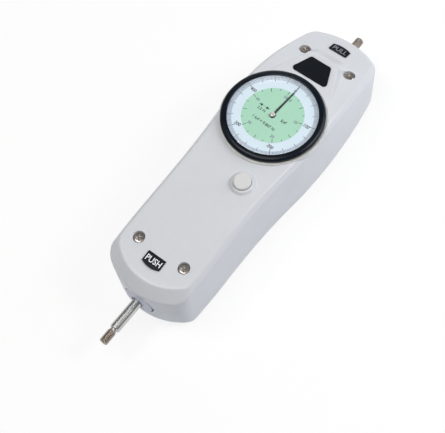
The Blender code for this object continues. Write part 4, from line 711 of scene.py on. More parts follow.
def cut_bearing_seats(shell):
    """Cuts the two bearings' seats out of a half case: a stepped one and a plain one."""
    push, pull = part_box("push_bearing"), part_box("pull_bearing")
    flange = (push[1].x - push[0].x) / 2 + FLANGE_PROUD + SEAT_CLEARANCE
    neck = flange - SEAT_NECK_INSET
    housing = (pull[1].x - pull[0].x) / 2 + GAP
    out = 1.5 * MM
    step = push[0].y + SEAT_STEP
    seats = (
        ("push", [(0, PUSH_END_Y - out), (flange, PUSH_END_Y - out), (flange, step), (neck, step),
                  (neck, push[1].y + out), (0, push[1].y + out)]),
        ("pull", [(0, pull[0].y - out), (housing, pull[0].y - out), (housing, PULL_END_Y + out),
                  (0, PULL_END_Y + out)]),
    )
    for place, profile in seats:
        cutter = turned(f"{place}_seat_cutter", profile, None, ROD_AXIS, "Y", HOLE_SIDES)
        cut = shell.modifiers.new("seat", "BOOLEAN")
        cut.operation = "DIFFERENCE"
        cut.object = cutter
        cut.solver = "EXACT"
        settle(shell)
        bpy.data.objects.remove(cutter)


def settle(piece):
    """Applies a piece's modifiers to its mesh."""
    mesh = final_mesh(piece)
    old = piece.data
    piece.modifiers.clear()
    piece.data = mesh
    bpy.data.meshes.remove(old)


def add_dial_boss(shell):
    """Joins the turned boss under the dial to the front case."""
    top = SEAT_BOTTOM - GAP
    bottom = top - 3 * MM
    radius = BEZEL_RADIUS + 1.1 * MM
    profile = soft_profile([(0, top, 0), (radius, top, 0.15), (radius, bottom, 0.6), (0, bottom, 0)])
    boss = turned("dial_boss", profile, None, DIAL_AXIS, sides=192)
    worked(shell.data, lambda shape: shape.from_mesh(boss.data))
    bpy.data.objects.remove(boss)


# Finishes: shared effects, whose sizes are in metres

def srgb(red, green, blue):
    """A screen colour of 0 to 255 as linear light."""
    part = np.array((red, green, blue)) / 255
    linear = np.where(part <= 0.04045, part / 12.92, ((part + 0.055) / 1.055) ** 2.4)
    return (*linear.tolist(), 1.0)


def node(tree, kind, inputs=None, **settings):
    """A new node with its settings made and its inputs set or linked."""
    made = tree.nodes.new(kind)
    for key, value in settings.items():
        setattr(made, key, value)
    for key, value in (inputs or {}).items():
        if isinstance(value, bpy.types.NodeSocket):
            tree.links.new(value, made.inputs[key])
        else:
            made.inputs[key].default_value = value
    return made


def maths(tree, operation, *values):
    """The result of one math node on numbers or sockets."""
    return node(tree, "ShaderNodeMath", dict(enumerate(values)), operation=operation).outputs[0]


def mapped(tree, value, before, after, **settings):
    """A value carried evenly from the range before to the range after, and held at its ends."""
    ends = {"From Min": before[0], "From Max": before[1], "To Min": after[0], "To Max": after[1]}
    return node(tree, "ShaderNodeMapRange", {"Value": value, **ends}, **settings).outputs[0]


def effect(name, inputs, outputs, make):
    """A shader group: make(tree, sockets) gives its outputs; inputs are (label, kind, value)."""
    group = bpy.data.node_groups.new(name, "ShaderNodeTree")
    for label, kind, value in inputs:
        socket = group.interface.new_socket(label, in_out="INPUT", socket_type=kind)
        if value is not None:
            socket.default_value = value
    for label, kind in outputs:
        group.interface.new_socket(label, in_out="OUTPUT", socket_type=kind)
    entry = group.nodes.new("NodeGroupInput")
    leave = group.nodes.new("NodeGroupOutput")
    results = make(group, entry.outputs)
    for label, _ in outputs:
        group.links.new(results[label], leave.inputs[label])
    return group


FLOAT = "NodeSocketFloat"
VECTOR = "NodeSocketVector"
COLOUR = "NodeSocketColor"
CLOUD_SIZE = 0.018
PATCH_SIZE = 0.011
SMEAR_SIZE = 0.0022


def grain_effect():
    """Noise of a given feature size in metres, spread to the whole range from 0 to 1."""
    def make(tree, given):
        scale = maths(tree, "DIVIDE", 1.0, given["Size"])
        looks = {"Vector": given["Vector"], "Scale": scale, "Detail": given["Detail"], "Roughness": 0.6}
        noise = node(tree, "ShaderNodeTexNoise", looks).outputs[0]
        return {"Grain": mapped(tree, noise, (0.3, 0.7), (0.0, 1.0))}

    inputs = [("Vector", VECTOR, None), ("Size", FLOAT, 0.001), ("Detail", FLOAT, 3.0)]
    return effect("grain", inputs, [("Grain", FLOAT)], make)


def use(tree, group, **inputs):
    """The first output of a shared effect with its inputs set or linked."""
    return node(tree, "ShaderNodeGroup", inputs, node_tree=group).outputs[0]


def flecks_effect():
    """Flecks of a sprayed finish and broad clouds under them: colour times 1 plus strength times both."""
    def make(tree, given):
        group = {"Vector": given["Vector"], "Detail": 2.0}
        fine = use(tree, GRAIN, Size=given["Fleck Size"], **group)
        broad = use(tree, GRAIN, Size=CLOUD_SIZE, **group)
        fleck = mapped(tree, fine, (0.0, 1.0), (-1.0, 1.0))
        cloud = mapped(tree, broad, (0.0, 1.0), (-0.4, 0.4))
        shade = maths(tree, "MULTIPLY_ADD", maths(tree, "ADD", fleck, cloud), given["Strength"], 1.0)
        mixed = node(tree, "ShaderNodeVectorMath", {0: given["Colour"], "Scale": shade}, operation="SCALE")
        return {"Colour": mixed.outputs[0], "Height": fine}

    inputs = [("Vector", VECTOR, None), ("Colour", COLOUR, (0.8, 0.8, 0.8, 1)),
              ("Fleck Size", FLOAT, 0.0005), ("Strength", FLOAT, 0.03)]
    return effect("flecks", inputs, [("Colour", COLOUR), ("Height", FLOAT)], make)


def handled_effect():
    """Roughness that wanders in patches a centimetre wide, with faint finer smears in them."""
    def make(tree, given):
        patch = use(tree, GRAIN, Vector=given["Vector"], Size=PATCH_SIZE, Detail=2.0)
        smear = use(tree, GRAIN, Vector=given["Vector"], Size=SMEAR_SIZE, Detail=4.0)
        centred = maths(tree, "SUBTRACT", maths(tree, "MULTIPLY_ADD", smear, 0.4, patch), 0.7)
        return {"Roughness": maths(tree, "MULTIPLY_ADD", centred, given["Spread"], given["Roughness"])}

    inputs = [("Vector", VECTOR, None), ("Roughness", FLOAT, 0.4), ("Spread", FLOAT, 0.08)]
    return effect("handled", inputs, [("Roughness", FLOAT)], make)


def turning_effect():
    """Tool marks round an axis along Z: noise in the distance from it and in the height."""
    def make(tree, given):
        parts = node(tree, "ShaderNodeSeparateXYZ", {0: given["Vector"]})
        flat = node(tree, "ShaderNodeCombineXYZ", {0: parts.outputs[0], 1: parts.outputs[1]})
        reach = node(tree, "ShaderNodeVectorMath", {0: flat.outputs[0]}, operation="LENGTH")
        place = node(tree, "ShaderNodeCombineXYZ", {0: reach.outputs["Value"], 2: parts.outputs[2]})
        return {"Height": use(tree, GRAIN, Vector=place.outputs[0], Size=given["Pitch"], Detail=3.0)}

    inputs = [("Vector", VECTOR, None), ("Pitch", FLOAT, 0.0003)]
    return effect("turning_marks", inputs, [("Height", FLOAT)], make)


def brushed_effect():
    """Fine lines along X: noise drawn out many times along it, as a height."""
    def make(tree, given):
        drawn = node(tree, "ShaderNodeVectorMath", {0: given["Vector"], 1: (0.03, 1.0, 1.0)},
                     operation="MULTIPLY")
        return {"Height": use(tree, GRAIN, Vector=drawn.outputs[0], Size=given["Size"], Detail=3.0)}

    inputs = [("Vector", VECTOR, None), ("Size", FLOAT, 0.0002)]
    return effect("brushed", inputs, [("Height", FLOAT)], make)


GRAIN = grain_effect()
FLECKS = flecks_effect()
HANDLED = handled_effect()
TURNING = turning_effect()
BRUSHED = brushed_effect()


# Finishes: one short function each

def new_finish(name, **plain):
    """A material with one Principled shader, its plain values set on its own sockets."""
    made = bpy.data.materials.new(name)
    made.use_nodes = True
    tree = made.node_tree
    shader = tree.nodes["Principled BSDF"]
    for key, value in plain.items():
        shader.inputs[key.replace("_", " ")].default_value = value
    place = node(tree, "ShaderNodeTexCoord").outputs["Object"]
    return made, tree, shader, place


def link_bump(tree, shader, height, distance):
    """Raises a height over the surface; the distance is in millimetres, and none leaves it smooth."""
    if distance:
        bump = node(tree, "ShaderNodeBump", {"Height": height, "Distance": distance * MM, "Strength": 1.0})
        tree.links.new(bump.outputs[0], shader.inputs["Normal"])


def link_roughness(tree, shader, place, value, spread):
    """Roughness that wanders by a spread round its value."""
    rough = use(tree, HANDLED, Vector=place, Roughness=value, Spread=spread)
    tree.links.new(rough, shader.inputs["Roughness"])


def link_flecks(tree, shader, place, colour, fleck, strength):
    """A flecked colour; gives the height of its flecks."""
    inputs = {"Vector": place, "Colour": srgb(*colour), "Fleck Size": fleck * MM, "Strength": strength}
    group = node(tree, "ShaderNodeGroup", inputs, node_tree=FLECKS)
    tree.links.new(group.outputs["Colour"], shader.inputs["Base Color"])
    return group.outputs["Height"]


def turned_place(tree, place, centre, upright):
    """Object coordinates moved to an axis; a lying axis along Y is turned to stand along Z."""
    moved = node(tree, "ShaderNodeMapping", {"Vector": place, "Location": [-c for c in centre]}).outputs[0]
    if upright:
        return moved
    return node(tree, "ShaderNodeMapping", {"Vector": moved, "Rotation": (PI / 2, 0, 0)}).outputs[0]


def speckled(name, colour, fleck, strength, roughness, spread, bump, **plain):
    """A sprayed or moulded finish: flecks in its colour, patches in its gloss, fine relief.

    Colours are screen colours, and the fleck's size and the bump are in millimetres.
    """
    made, tree, shader, place = new_finish(name, **plain)
    height = link_flecks(tree, shader, place, colour, fleck, strength)
    link_roughness(tree, shader, place, roughness, spread)
    link_bump(tree, shader, height, bump)
    return made


def tooled(name, dark, light, size, roughness, spread, bump, centre=None, upright=True, brushed=False,
           **plain):
    """A finish whose tone runs between two colours with its tool marks, turned, brushed or plain grain."""
    made, tree, shader, place = new_finish(name, **plain)
    if centre is not None:
        marks = use(tree, TURNING, Vector=turned_place(tree, place, centre, upright), Pitch=size * MM)
    elif brushed:
        marks = use(tree, BRUSHED, Vector=place, Size=size * MM)
    else:
        marks = use(tree, GRAIN, Vector=place, Size=size * MM, Detail=4.0)
    tones = {"A": srgb(*dark), "B": srgb(*light), "Factor": marks}
    tone = node(tree, "ShaderNodeMix", tones, data_type="RGBA").outputs["Result"]
    tree.links.new(tone, shader.inputs["Base Color"])
    link_roughness(tree, shader, place, roughness, spread)
    link_bump(tree, shader, marks, bump)
    return made


def case_paint():
    """Light grey sprayed paint under a thin coat."""
    return speckled("case_paint", (214, 216, 221), 0.45, 0.027, 0.46, 0.10, 0.012,
                    Specular_IOR_Level=0.2, Coat_Weight=0.35, Coat_Roughness=0.14)


def plate_paint():
    """Blue black matt paint of the plates."""
    return speckled("plate_paint", (10, 16, 23), 0.35, 0.16, 0.50, 0.10, 0.006, Specular_IOR_Level=0.18)


def bezel_black():
    """Black lacquer on a turned ring, with faint rings from the lathe under it."""
    return tooled("bezel_black", (5, 13, 21), (10, 22, 34), 0.5, 0.33, 0.10, 0.004, DIAL_AXIS,
                  Coat_Weight=0.06, Coat_Roughness=0.2, Specular_IOR_Level=0.2)


def dial_enamel():
    """Pale blue white enamel of the dial."""
    return speckled("dial_enamel", (219, 235, 247), 0.25, 0.010, 0.40, 0.06, 0.003)


def green_ink():
    """Pale green printing of the dial's disc."""
    return speckled("green_ink", (166, 215, 189), 0.22, 0.030, 0.50, 0.08, 0.003)


def black_ink():
    """Black printing, and the pointer's black."""
    return speckled("black_ink", (22, 26, 32), 0.15, 0.20, 0.55, 0.10, 0.002, Specular_IOR_Level=0.25)


def grey_ink():
    """Grey printing of fine marks."""
    return speckled("grey_ink", (100, 110, 126), 0.15, 0.12, 0.50, 0.10, 0.002)


def white_ink():
    """White printing of the lower label."""
    return speckled("white_ink", (238, 240, 244), 0.15, 0.04, 0.42, 0.10, 0.002)


def lavender_ink():
    """Greyed lavender printing of the upper label."""
    return speckled("lavender_ink", (150, 152, 166), 0.15, 0.06, 0.46, 0.10, 0.002)


def band_ink():
    """Painted shade: pale blue ink standing for the shade that the bezel's inner wall casts on the dial's
    scale.
    """
    return speckled("band_ink", (206, 220, 237), 0.22, 0.020, 0.44, 0.08, 0.003)


def button_plastic():
    """White moulded plastic that lets a little light in."""
    return speckled("button_plastic", (219, 218, 218), 0.6, 0.012, 0.34, 0.08, 0.006,
                    Subsurface_Weight=0.08, Subsurface_Scale=0.001)


def nylon_plastic():
    """Cream nylon that lets a little light in."""
    return speckled("nylon_plastic", (214, 211, 198), 0.7, 0.020, 0.48, 0.08, 0.008,
                    Subsurface_Weight=0.1, Subsurface_Scale=0.001)


def pad_felt():
    """Pressed felt: coarse flecks, very rough, with a soft sheen."""
    return speckled("pad_felt", (142, 98, 92), 0.25, 0.25, 0.94, 0.05, 0.12,
                    Sheen_Weight=0.4, Sheen_Roughness=0.6)


def rod_chrome():
    """Ground and plated rod: fine rings round its lying axis, in the tone alone."""
    return tooled("rod_chrome", (196, 197, 196), (206, 207, 206), 0.40, 0.28, 0.0, 0.0, ROD_AXIS,
                  upright=False, Metallic=1.0, Specular_Tint=(0.62, 0.60, 0.54, 1))


def thread_steel():
    """Warm cut steel of the threads."""
    return tooled("thread_steel", (150, 140, 132), (196, 186, 176), 0.2, 0.28, 0.12, 0.002,
                  Metallic=1.0, Specular_Tint=(0.6, 0.56, 0.5, 1))


def bearing_alloy():
    """The bearing housings: satin anodised, pale lilac, with a fine grain."""
    return speckled("bearing_alloy", (212, 214, 228), 0.30, 0.04, 0.46, 0.08, 0.004, Specular_IOR_Level=0.45)


def screw_zinc():
    """Warm plated zinc of the screws."""
    return tooled("screw_zinc", (154, 146, 138), (200, 193, 186), 0.4, 0.27, 0.12, 0.003, Metallic=1.0)


def hub_chrome():
    """Bright turned cap of the pointer."""
    return tooled("hub_chrome", (180, 176, 170), (214, 210, 204), 0.1, 0.14, 0.06, 0.0006, DIAL_AXIS,
                  Metallic=1.0)


def seat_metal():
    """Pale turned ring under the bezel."""
    return tooled("seat_metal", (214, 213, 208), (232, 232, 230), 0.3, 0.50, 0.10, 0.001, DIAL_AXIS,
                  Metallic=1.0)


def plate_alloy():
    """Brushed plates of the movement."""
    return tooled("plate_alloy", (186, 188, 196), (208, 210, 216), 0.18, 0.36, 0.12, 0.002, brushed=True,
                  Metallic=1.0)


def ground_steel():
    """Brushed steel of the inner parts."""
    return tooled("ground_steel", (168, 170, 174), (198, 200, 204), 0.15, 0.30, 0.12, 0.002, brushed=True,
                  Metallic=1.0)


def cut_brass():
    """Brass of the wheel, hairspring and bushes."""
    return tooled("cut_brass", (196, 164, 98), (226, 198, 132), 0.3, 0.26, 0.12, 0.002, Metallic=1.0)


def clear_window():
    """Clear moulded plastic with a faint cast tint; light to what lies under it passes straight."""
    made, tree, shader, place = new_finish("clear_window", Transmission_Weight=1.0, IOR=1.49, Metallic=0.0)
    height = link_flecks(tree, shader, place, (254, 255, 255), 3, 0.006)
    link_roughness(tree, shader, place, 0.012, 0.012)
    link_bump(tree, shader, height, 0.002)
    path = node(tree, "ShaderNodeLightPath").outputs
    either = maths(tree, "MAXIMUM", path["Is Shadow Ray"], path["Is Diffuse Ray"])
    passing = node(tree, "ShaderNodeBsdfTransparent", {"Color": FULL_WHITE}).outputs[0]
    mixed = node(tree, "ShaderNodeMixShader", {0: either, 1: shader.outputs[0], 2: passing})
    tree.links.new(mixed.outputs[0], tree.nodes["Material Output"].inputs["Surface"])
    return made


PAINT = case_paint()
PLATE_BLACK = plate_paint()
BEZEL_BLACK = bezel_black()
ENAMEL = dial_enamel()
GREEN = green_ink()
BLACK = black_ink()
GREY = grey_ink()
WHITE = white_ink()
LAVENDER = lavender_ink()
# painted shade: the bezel's shade on the dial's outer edge, as a pale blue ink
BEZEL_SHADE = band_ink()
BUTTON_PLASTIC = button_plastic()
NYLON = nylon_plastic()
FELT = pad_felt()
CHROME = rod_chrome()
THREAD = thread_steel()
ALLOY = bearing_alloy()
ZINC = screw_zinc()
HUB = hub_chrome()
SEAT = seat_metal()
PLATE_ALLOY = plate_alloy()
STEEL = ground_steel()
BRASS = cut_brass()
CLEAR = clear_window()

CARRIED_OVER = {
    "dial_plate": ENAMEL,
    "push_bush": BRASS, "pull_bush": BRASS, "gear_wheel": BRASS, "hairspring": BRASS,
    "movement_bridge": PLATE_ALLOY, "movement_top_plate": PLATE_ALLOY, "brake_lever": PLATE_ALLOY,
    "button_guide": NYLON, "brake_pad": FELT, "bezel_seat_ring": SEAT,
}


def dress_frame():
    """Gives every node of the frame that stays in view its finish; steel is the usual one."""
    for name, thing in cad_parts.items():
        finish = CARRIED_OVER.get(name, PLATE_ALLOY if name.startswith("movement_pillar") else STEEL)
        if not thing.material_slots:
            thing.data.materials.append(finish)
        for held in thing.material_slots:
            held.material = finish


# Bezel, window and dial

def bezel_ring():
    """The black ring: flat foot, straight edge, a bulging shoulder and a thin lip over the window.

    The shoulder is a superellipse: inward and upward shares x and y with x^p + y^p = 1.
    """
    edge = BEZEL_BOTTOM + 1.2 * MM
    low, high = np.array((BEZEL_RADIUS, edge)), np.array((BEZEL_RADIUS - 2.7 * MM, BEZEL_TOP))
    turn = np.linspace(0, PI / 2, 19)
    power = 1.75
    out, rise = np.cos(turn) ** (2 / power), np.sin(turn) ** (2 / power)
    shoulder = np.stack([high[0] + (low[0] - high[0]) * out, low[1] + (high[1] - low[1]) * rise], -1)
    lip_bottom = DIAL_TOP + 1.1 * MM
    bore = BEZEL_RADIUS - 2.9 * MM
    lip = BEZEL_RADIUS - 3.9 * MM
    head = soft_profile([(bore, BEZEL_BOTTOM, 0), (BEZEL_RADIUS, BEZEL_BOTTOM, 0.4), (*low, 0)])
    tail = soft_profile([(*high, 0), (high[0] - 0.5 * MM, BEZEL_TOP, 0.4), (lip, BEZEL_TOP - 0.35 * MM, 0.25),
                         (lip, lip_bottom, 0.1), (bore, lip_bottom, 0)])
    profile = np.concatenate([head, shoulder[1:], tail[1:]])
    ring = turned("bezel_black_ring", profile, BEZEL_BLACK, DIAL_AXIS, sides=256, body="bezel",
                  closed=True, smooth_angle=50, slot="black_paint")
    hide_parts("bezel_ring")


def window():
    """The clear window: its dome rises as one less the fourth power of the radius."""
    low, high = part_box("crystal")
    rim_radius = (high.x - low.x) / 2
    rim_top = low.z + 0.5 * MM
    foot = rim_top + 0.5 * MM
    wall, rise = 0.8 * MM, 1.5 * MM
    edge = rim_radius - 1.0 * MM
    inside = edge - wall

    def dome(radius, reach, bottom):
        return np.stack([radius, bottom + rise * (1 - (radius / reach) ** 4)], -1)

    upper = dome(np.linspace(0, edge, 26), edge, foot)
    lower = dome(np.linspace(inside, 0, 26), inside, foot - wall)
    rim = [(edge, rim_top), (rim_radius, rim_top), (rim_radius, low.z), (inside, low.z)]
    profile = np.concatenate([upper, rim, lower])
    glass = turned("window_dome", profile, CLEAR, DIAL_AXIS, sides=192, body="bezel",
                   smooth_angle=40, slot="clear_plastic")
    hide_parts("crystal")


def on_dial(points, turn):
    """Points of the dial's own plan turned about its middle and moved there."""
    points = np.asarray(points, float)
    c, s = math.cos(turn), math.sin(turn)
    x = points[..., 0] * c - points[..., 1] * s
    y = points[..., 0] * s + points[..., 1] * c + DIAL_Y
    return np.stack([x, y, points[..., 2]], -1)


def prism(plan, base):
    """A plan's corners at two levels one print's thickness apart, as points and faces."""
    count = len(plan)
    low = np.column_stack([plan, np.full(count, base)])
    faces = [range(count), range(2 * count - 1, count - 1, -1)]
    faces += [(i, count + i, count + (i + 1) % count, (i + 1) % count) for i in range(count)]
    return np.concatenate([low, low + (0, 0, PRINT_THICKNESS)]), [np.array(f) for f in faces]


def tick_marks(angles, inner, outer, width, base):
    """Thin radial bars in millimetres, at clockwise angles in degrees from the top."""
    angles = np.radians(np.asarray(angles, float))[:, None]
    along = np.array((inner, inner, outer, outer)) * MM
    across = np.array((-0.5, 0.5, 0.5, -0.5)) * (width * MM)
    x = along * np.sin(angles) + across * np.cos(angles)
    y = along * np.cos(angles) - across * np.sin(angles)
    return [prism(plan, base) for plan in np.stack([x, y], -1)]


def printed(name, parts, finish):
    """One print on the dial, from (points, faces) parts in the dial's own plan."""
    points, faces = joined(*parts)
    mesh_piece(name, on_dial(points, DIAL_TURN), faces, finish, "bezel", slot="dial_white")


def tinted_rings():
    """Two very thin flat rings on the dial: green printing inside, and outside a pale blue ring of painted
    shade from the bezel's inner wall.
    """
    rings = (
        ("dial_green_disc", 2.05 * MM, GREEN_RADIUS, DIAL_TOP + 0.012 * MM, GREEN),
        # the outer ring is painted shade: the bezel's inner wall shading the dial's edge, not a print
        ("dial_bezel_shade_ring", SHADE_RING_RADIUS, SHADE_RING_OUTER_RADIUS, PRINT_BASE, BEZEL_SHADE),
    )
    bottom = DIAL_TOP - PRINT_THICKNESS
    for name, inner, outer, top, ink in rings:
        profile = [(inner, bottom), (outer, bottom), (outer, top), (inner, top)]
        turned(name, profile, ink, DIAL_AXIS, sides=160, body="bezel", closed=True, slot="dial_white")


def dial_scales():
    """The outer scale counts to 500 in one turn; the inner one to 50, and its last mark is at 353 degrees."""
    base = DIAL_TOP - PRINT_THICKNESS / 2
    counts = np.arange(0, 500, 2.5)
    fine = counts[counts % 25 != 0] * OUTER_STEP
    middle = counts[(counts % 25 == 0) & (counts % 100 != 0)] * OUTER_STEP
    hundreds = np.arange(0, 500, 100) * OUTER_STEP
    fives = np.arange(0, 51, 5) * INNER_STEP
    halves = np.arange(2.5, 50, 5) * INNER_STEP
    printed("dial_fine_scale", tick_marks(fine, 23.4, 25.9, 0.26, base), GREY)
    bold = tick_marks(middle, 22.4, 26.0, 0.30, base) + tick_marks(hundreds, 21.8, 26.2, 0.36, base)
    printed("dial_main_scale", bold, BLACK)
    inner = tick_marks(fives, 15.5, 17.95, 0.32, PRINT_BASE)
    inner += tick_marks(halves, 16.6, 17.95, 0.26, PRINT_BASE)
    printed("dial_inner_scale", inner, BLACK)


def around(radius, degrees):
    """The place at a radius in millimetres and a clockwise angle from the top."""
    turn = math.radians(degrees)
    return np.array((math.sin(turn), math.cos(turn))) * (radius * MM)


def dial_numbers():
    """Plain numbers, all upright to the dial, and the value of one small mark between two arrows."""
    outer = [lettering(str(count), 2.0 * MM, around(20.3, count * OUTER_STEP), DIAL_TOP, wide=0.92)
             for count in range(0, 500, 100)]
    level = DIAL_TOP + 0.013 * MM
    places = [(count, 13.7, count * INNER_STEP) for count in (10, 20, 30, 40)]
    places += [(50, 13.8, -6.5), (0, 13.8, 7.6)]
    inner = [lettering(str(count), 1.7 * MM, around(radius, degrees), level)
             for count, radius, degrees in places]
    words = [lettering(text, height * MM, (x * MM, y * MM), level) for text, height, x, y in (
        ("2.5 N", 1.7, -7.5, -0.8), ("kgf", 2.0, 7.6, 0.5), ("1 kgf = 9.807 N", 1.75, -1.1, -6.9))]
    printed("dial_outer_numbers", outer, BLACK)
    printed("dial_inner_numbers", inner, GREY)
    printed("dial_words", words, BLACK)
    arrows = []
    for x, y, way in ((-9.9, 1.6, -1), (-4.9, 1.75, 1)):
        plan = np.array(((1.3 * way, 0), (-1.1 * way, 0.9), (-1.1 * way, -0.9))) * MM
        arrows.append(prism(plan + np.array((x, y)) * MM, PRINT_BASE))
    bar = np.array(((-8.9, 1.55), (-6.0, 1.65), (-6.0, 1.8), (-8.9, 1.7))) * MM
    printed("dial_arrows", [*arrows, prism(bar, PRINT_BASE)], BLACK)


def needle_part(name, start, stop, half_start, half_stop, finish):
    """A flat needle whose half width runs evenly from root to tip, with its upper edges broken."""
    low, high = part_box("pointer")
    rows = 24
    share = np.linspace(0, 1, rows)[:, None]
    along = start + (stop - start) * share
    half = half_start + (half_stop - half_start) * share
    across = np.array((-1.0, -0.8, 0.0, 0.8, 1.0, 1.0, -1.0))
    level = np.array((0.55, 0.95, 1.0, 0.95, 0.55, 0.0, 0.0))
    z = low.z + (high.z - low.z) * level + np.zeros_like(along)
    x = half * across
    points = on_dial(np.stack([x, along + np.zeros_like(x), z], -1), POINTER_TURN)
    end = np.arange(len(across))
    faces = list(grid_faces(rows, len(end))) + [end[::-1], end + (rows - 1) * len(end)]
    return mesh_piece(name, points.reshape(-1, 3), faces, finish, "needle", 25, "black_paint")


def pointer():
    """The pointer: a tapered blade, a thin wire beyond it and a round eye at its root."""
    blade = needle_part("pointer_blade", -0.8 * MM, 18.7 * MM, 0.72 * MM, 0.46 * MM, BLACK)
    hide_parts("pointer")
    wire = needle_part("pointer_wire", 18.6 * MM, 23.0 * MM, 0.20 * MM, 0.10 * MM, GREY)
    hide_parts("pointer")
    low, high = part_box("pointer")
    radius = 1.35 * MM
    eye = soft_profile([(0, low.z, 0), (radius, low.z, 0.05), (radius, high.z, 0.1), (0, high.z, 0)])
    ring = turned("pointer_eye", eye, BLACK, DIAL_AXIS, sides=64, body="needle", slot="black_paint")
    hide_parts("pointer")


def pointer_hub():
    """The bright cap in the dial's middle: a low cylinder with a round edge and a small centre."""
    low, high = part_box("pointer_hub")
    radius = 1.5 * MM
    sunk = high.z - 0.12 * MM
    profile = soft_profile([
        (0, low.z, 0), (radius, low.z, 0.05), (radius, high.z, 0.35),
        (0.75 * MM, high.z, 0.05), (0.62 * MM, sunk, 0.05), (0, sunk, 0),
    ])
    cap = turned("pointer_cap", profile, HUB, DIAL_AXIS, sides=96, body="needle", slot="chrome")
    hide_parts("pointer_hub")


def seat_ring():
    """The metal ring that the bezel turns on, its outer edges a little round."""
    low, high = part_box("bezel_seat_ring")
    inner = 24 * MM
    outer = (high.x - low.x) / 2 + GAP
    soft = 0.12
    profile = soft_profile([
        (inner, low.z, 0), (outer, low.z, soft), (outer, high.z, soft), (inner, high.z, 0),
    ])
    ring = turned("dial_seat_ring", profile, SEAT, DIAL_AXIS, sides=224, closed=True, slot="steel")
    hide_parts("bezel_seat_ring")


# Rod, bearings, button, screws and plates

def thread_rows(tip_y, side):
    """A helical thread: the radius is the crest less a rounded groove in height less turn."""
    rows, sides = 118, 72
    along = np.linspace(0, THREAD_LENGTH, rows)[:, None]
    turn = turns(sides)[None]
    y = tip_y - side * along
    wave = abs(((y / THREAD_PITCH - turn / (2 * PI)) % 1.0) * 2 - 1)
    crest, flank = 0.12, 0.72
    groove = np.clip((wave - crest) / flank, 0, 1)
    tip_chamfer = 0.55 * MM
    radius = np.minimum(THREAD_RADIUS - THREAD_DEPTH * groove, THREAD_RADIUS - tip_chamfer + along)
    fade = 0.7 * MM
    run_out = np.clip((along - (THREAD_LENGTH - fade)) / fade, 0, 1)
    radius = radius + (RELIEF_RADIUS - radius) * run_out
    x = radius * np.sin(turn)
    z = radius * np.cos(turn) + ROD_HEIGHT
    grid = np.stack([x, y + np.zeros_like(x), z], -1).reshape(-1, 3)
    points = np.concatenate([grid, [(0, tip_y, ROD_HEIGHT)]])
    ring = np.arange(sides)
    tip = [(a, b, rows * sides) for a, b in zip(np.roll(ring, -1), ring)]
    return points, [*grid_faces(rows, sides), *tip, ring + (rows - 1) * sides]


def measuring_rod():
    """The rod: a thread at each end and a shaft between them with a relief and a chamfer at each end."""
    low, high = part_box("measuring_rod")
    for name, tip, side in (("push", low.y, -1), ("pull", high.y, 1)):
        thread = mesh_piece(f"rod_{name}_thread", *thread_rows(tip, side), THREAD, "shaft",
                            smooth_angle=60, slot="chrome")
        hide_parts("measuring_rod")
    start = low.y + THREAD_LENGTH
    stop = high.y - THREAD_LENGTH
    chamfered = 0.5 * MM
    sunk = -0.2 * MM
    end = (
        (0, sunk, 0), (RELIEF_RADIUS, sunk, 0), (RELIEF_RADIUS, RELIEF_LENGTH, 0.1),
        (ROD_RADIUS - chamfered, RELIEF_LENGTH, 0.1), (ROD_RADIUS, RELIEF_LENGTH + chamfered, 0.25),
    )
    profile = soft_profile([(r, start + h, soft) for r, h, soft in end]
                           + [(r, stop - h, soft) for r, h, soft in end[::-1]])
    shaft = turned("rod_shaft", profile, CHROME, ROD_AXIS, "Y", 96, "shaft", slot="chrome")
    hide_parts("measuring_rod")


def bearings():
    """The bearings: one with a wide disc whose face falls away as a parabola, and a plain sleeve."""
    push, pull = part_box("push_bearing"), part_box("pull_bearing")
    flange = (push[1].x - push[0].x) / 2 + FLANGE_PROUD
    neck = flange - NECK_INSET
    lip = 4.0 * MM
    step = push[0].y + FLANGE_THICKNESS
    front = push[0].y - FLANGE_OUT
    soft = 0.5
    reach = np.linspace(lip + 0.3 * MM, flange, 9)
    dome = [(r, front + r * r / (2 * FLANGE_DOME_RADIUS), 0) for r in reach]
    dome[-1] = (*dome[-1][:2], soft)
    profile = soft_profile([
        (BEARING_BORE, front + 2.4 * MM, 0), (lip, front + 2.4 * MM, 0.1),
        (lip, front + 0.4 * MM, 0.1), *dome, (flange, step, 0.2), (neck, step, 0.2),
        (neck, push[1].y, 0.2), (BEARING_BORE, push[1].y, 0.1), (BEARING_BORE, step, 0),
    ])
    disc = turned("push_bearing_disc", profile, ALLOY, ROD_AXIS, "Y", closed=True, slot="alloy")
    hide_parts("push_bearing")
    housing = (pull[1].x - pull[0].x) / 2
    profile = soft_profile([
        (BEARING_BORE, pull[0].y, 0.1), (housing, pull[0].y, 0.2), (housing, pull[1].y, soft),
        (BEARING_BORE + 0.3 * MM, pull[1].y, 0.15), (BEARING_BORE, pull[1].y - 0.3 * MM, 0.1),
        (BEARING_BORE, pull[0].y + 2 * MM, 0),
    ])
    sleeve = turned("pull_bearing_sleeve", profile, ALLOY, ROD_AXIS, "Y", closed=True, slot="alloy")
    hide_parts("pull_bearing")


def button():
    """The push button: a round cap with a soft edge over a hidden flange, hollow below."""
    low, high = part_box("button_cap")
    flange = (high.x - low.x) / 2
    shoulder = low.z + 1.0 * MM
    hollow, ceiling = 4 * MM, 48.1 * MM
    profile = soft_profile([
        (0, high.z - 0.12 * MM, 0), (3.2 * MM, high.z - 0.02 * MM, 1.5),
        (BUTTON_RADIUS, high.z, 1.7), (BUTTON_RADIUS, shoulder, 0), (flange, shoulder, 0.1),
        (flange, low.z, 0.1), (hollow, low.z, 0.1), (hollow, ceiling, 0.2), (0, ceiling, 0),
    ], 8)
    cap = turned("push_button", profile, BUTTON_PLASTIC, (BUTTON_X, BUTTON_Y, 0), body="button",
                 smooth_angle=45, slot="button_white")
    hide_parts("button_cap")


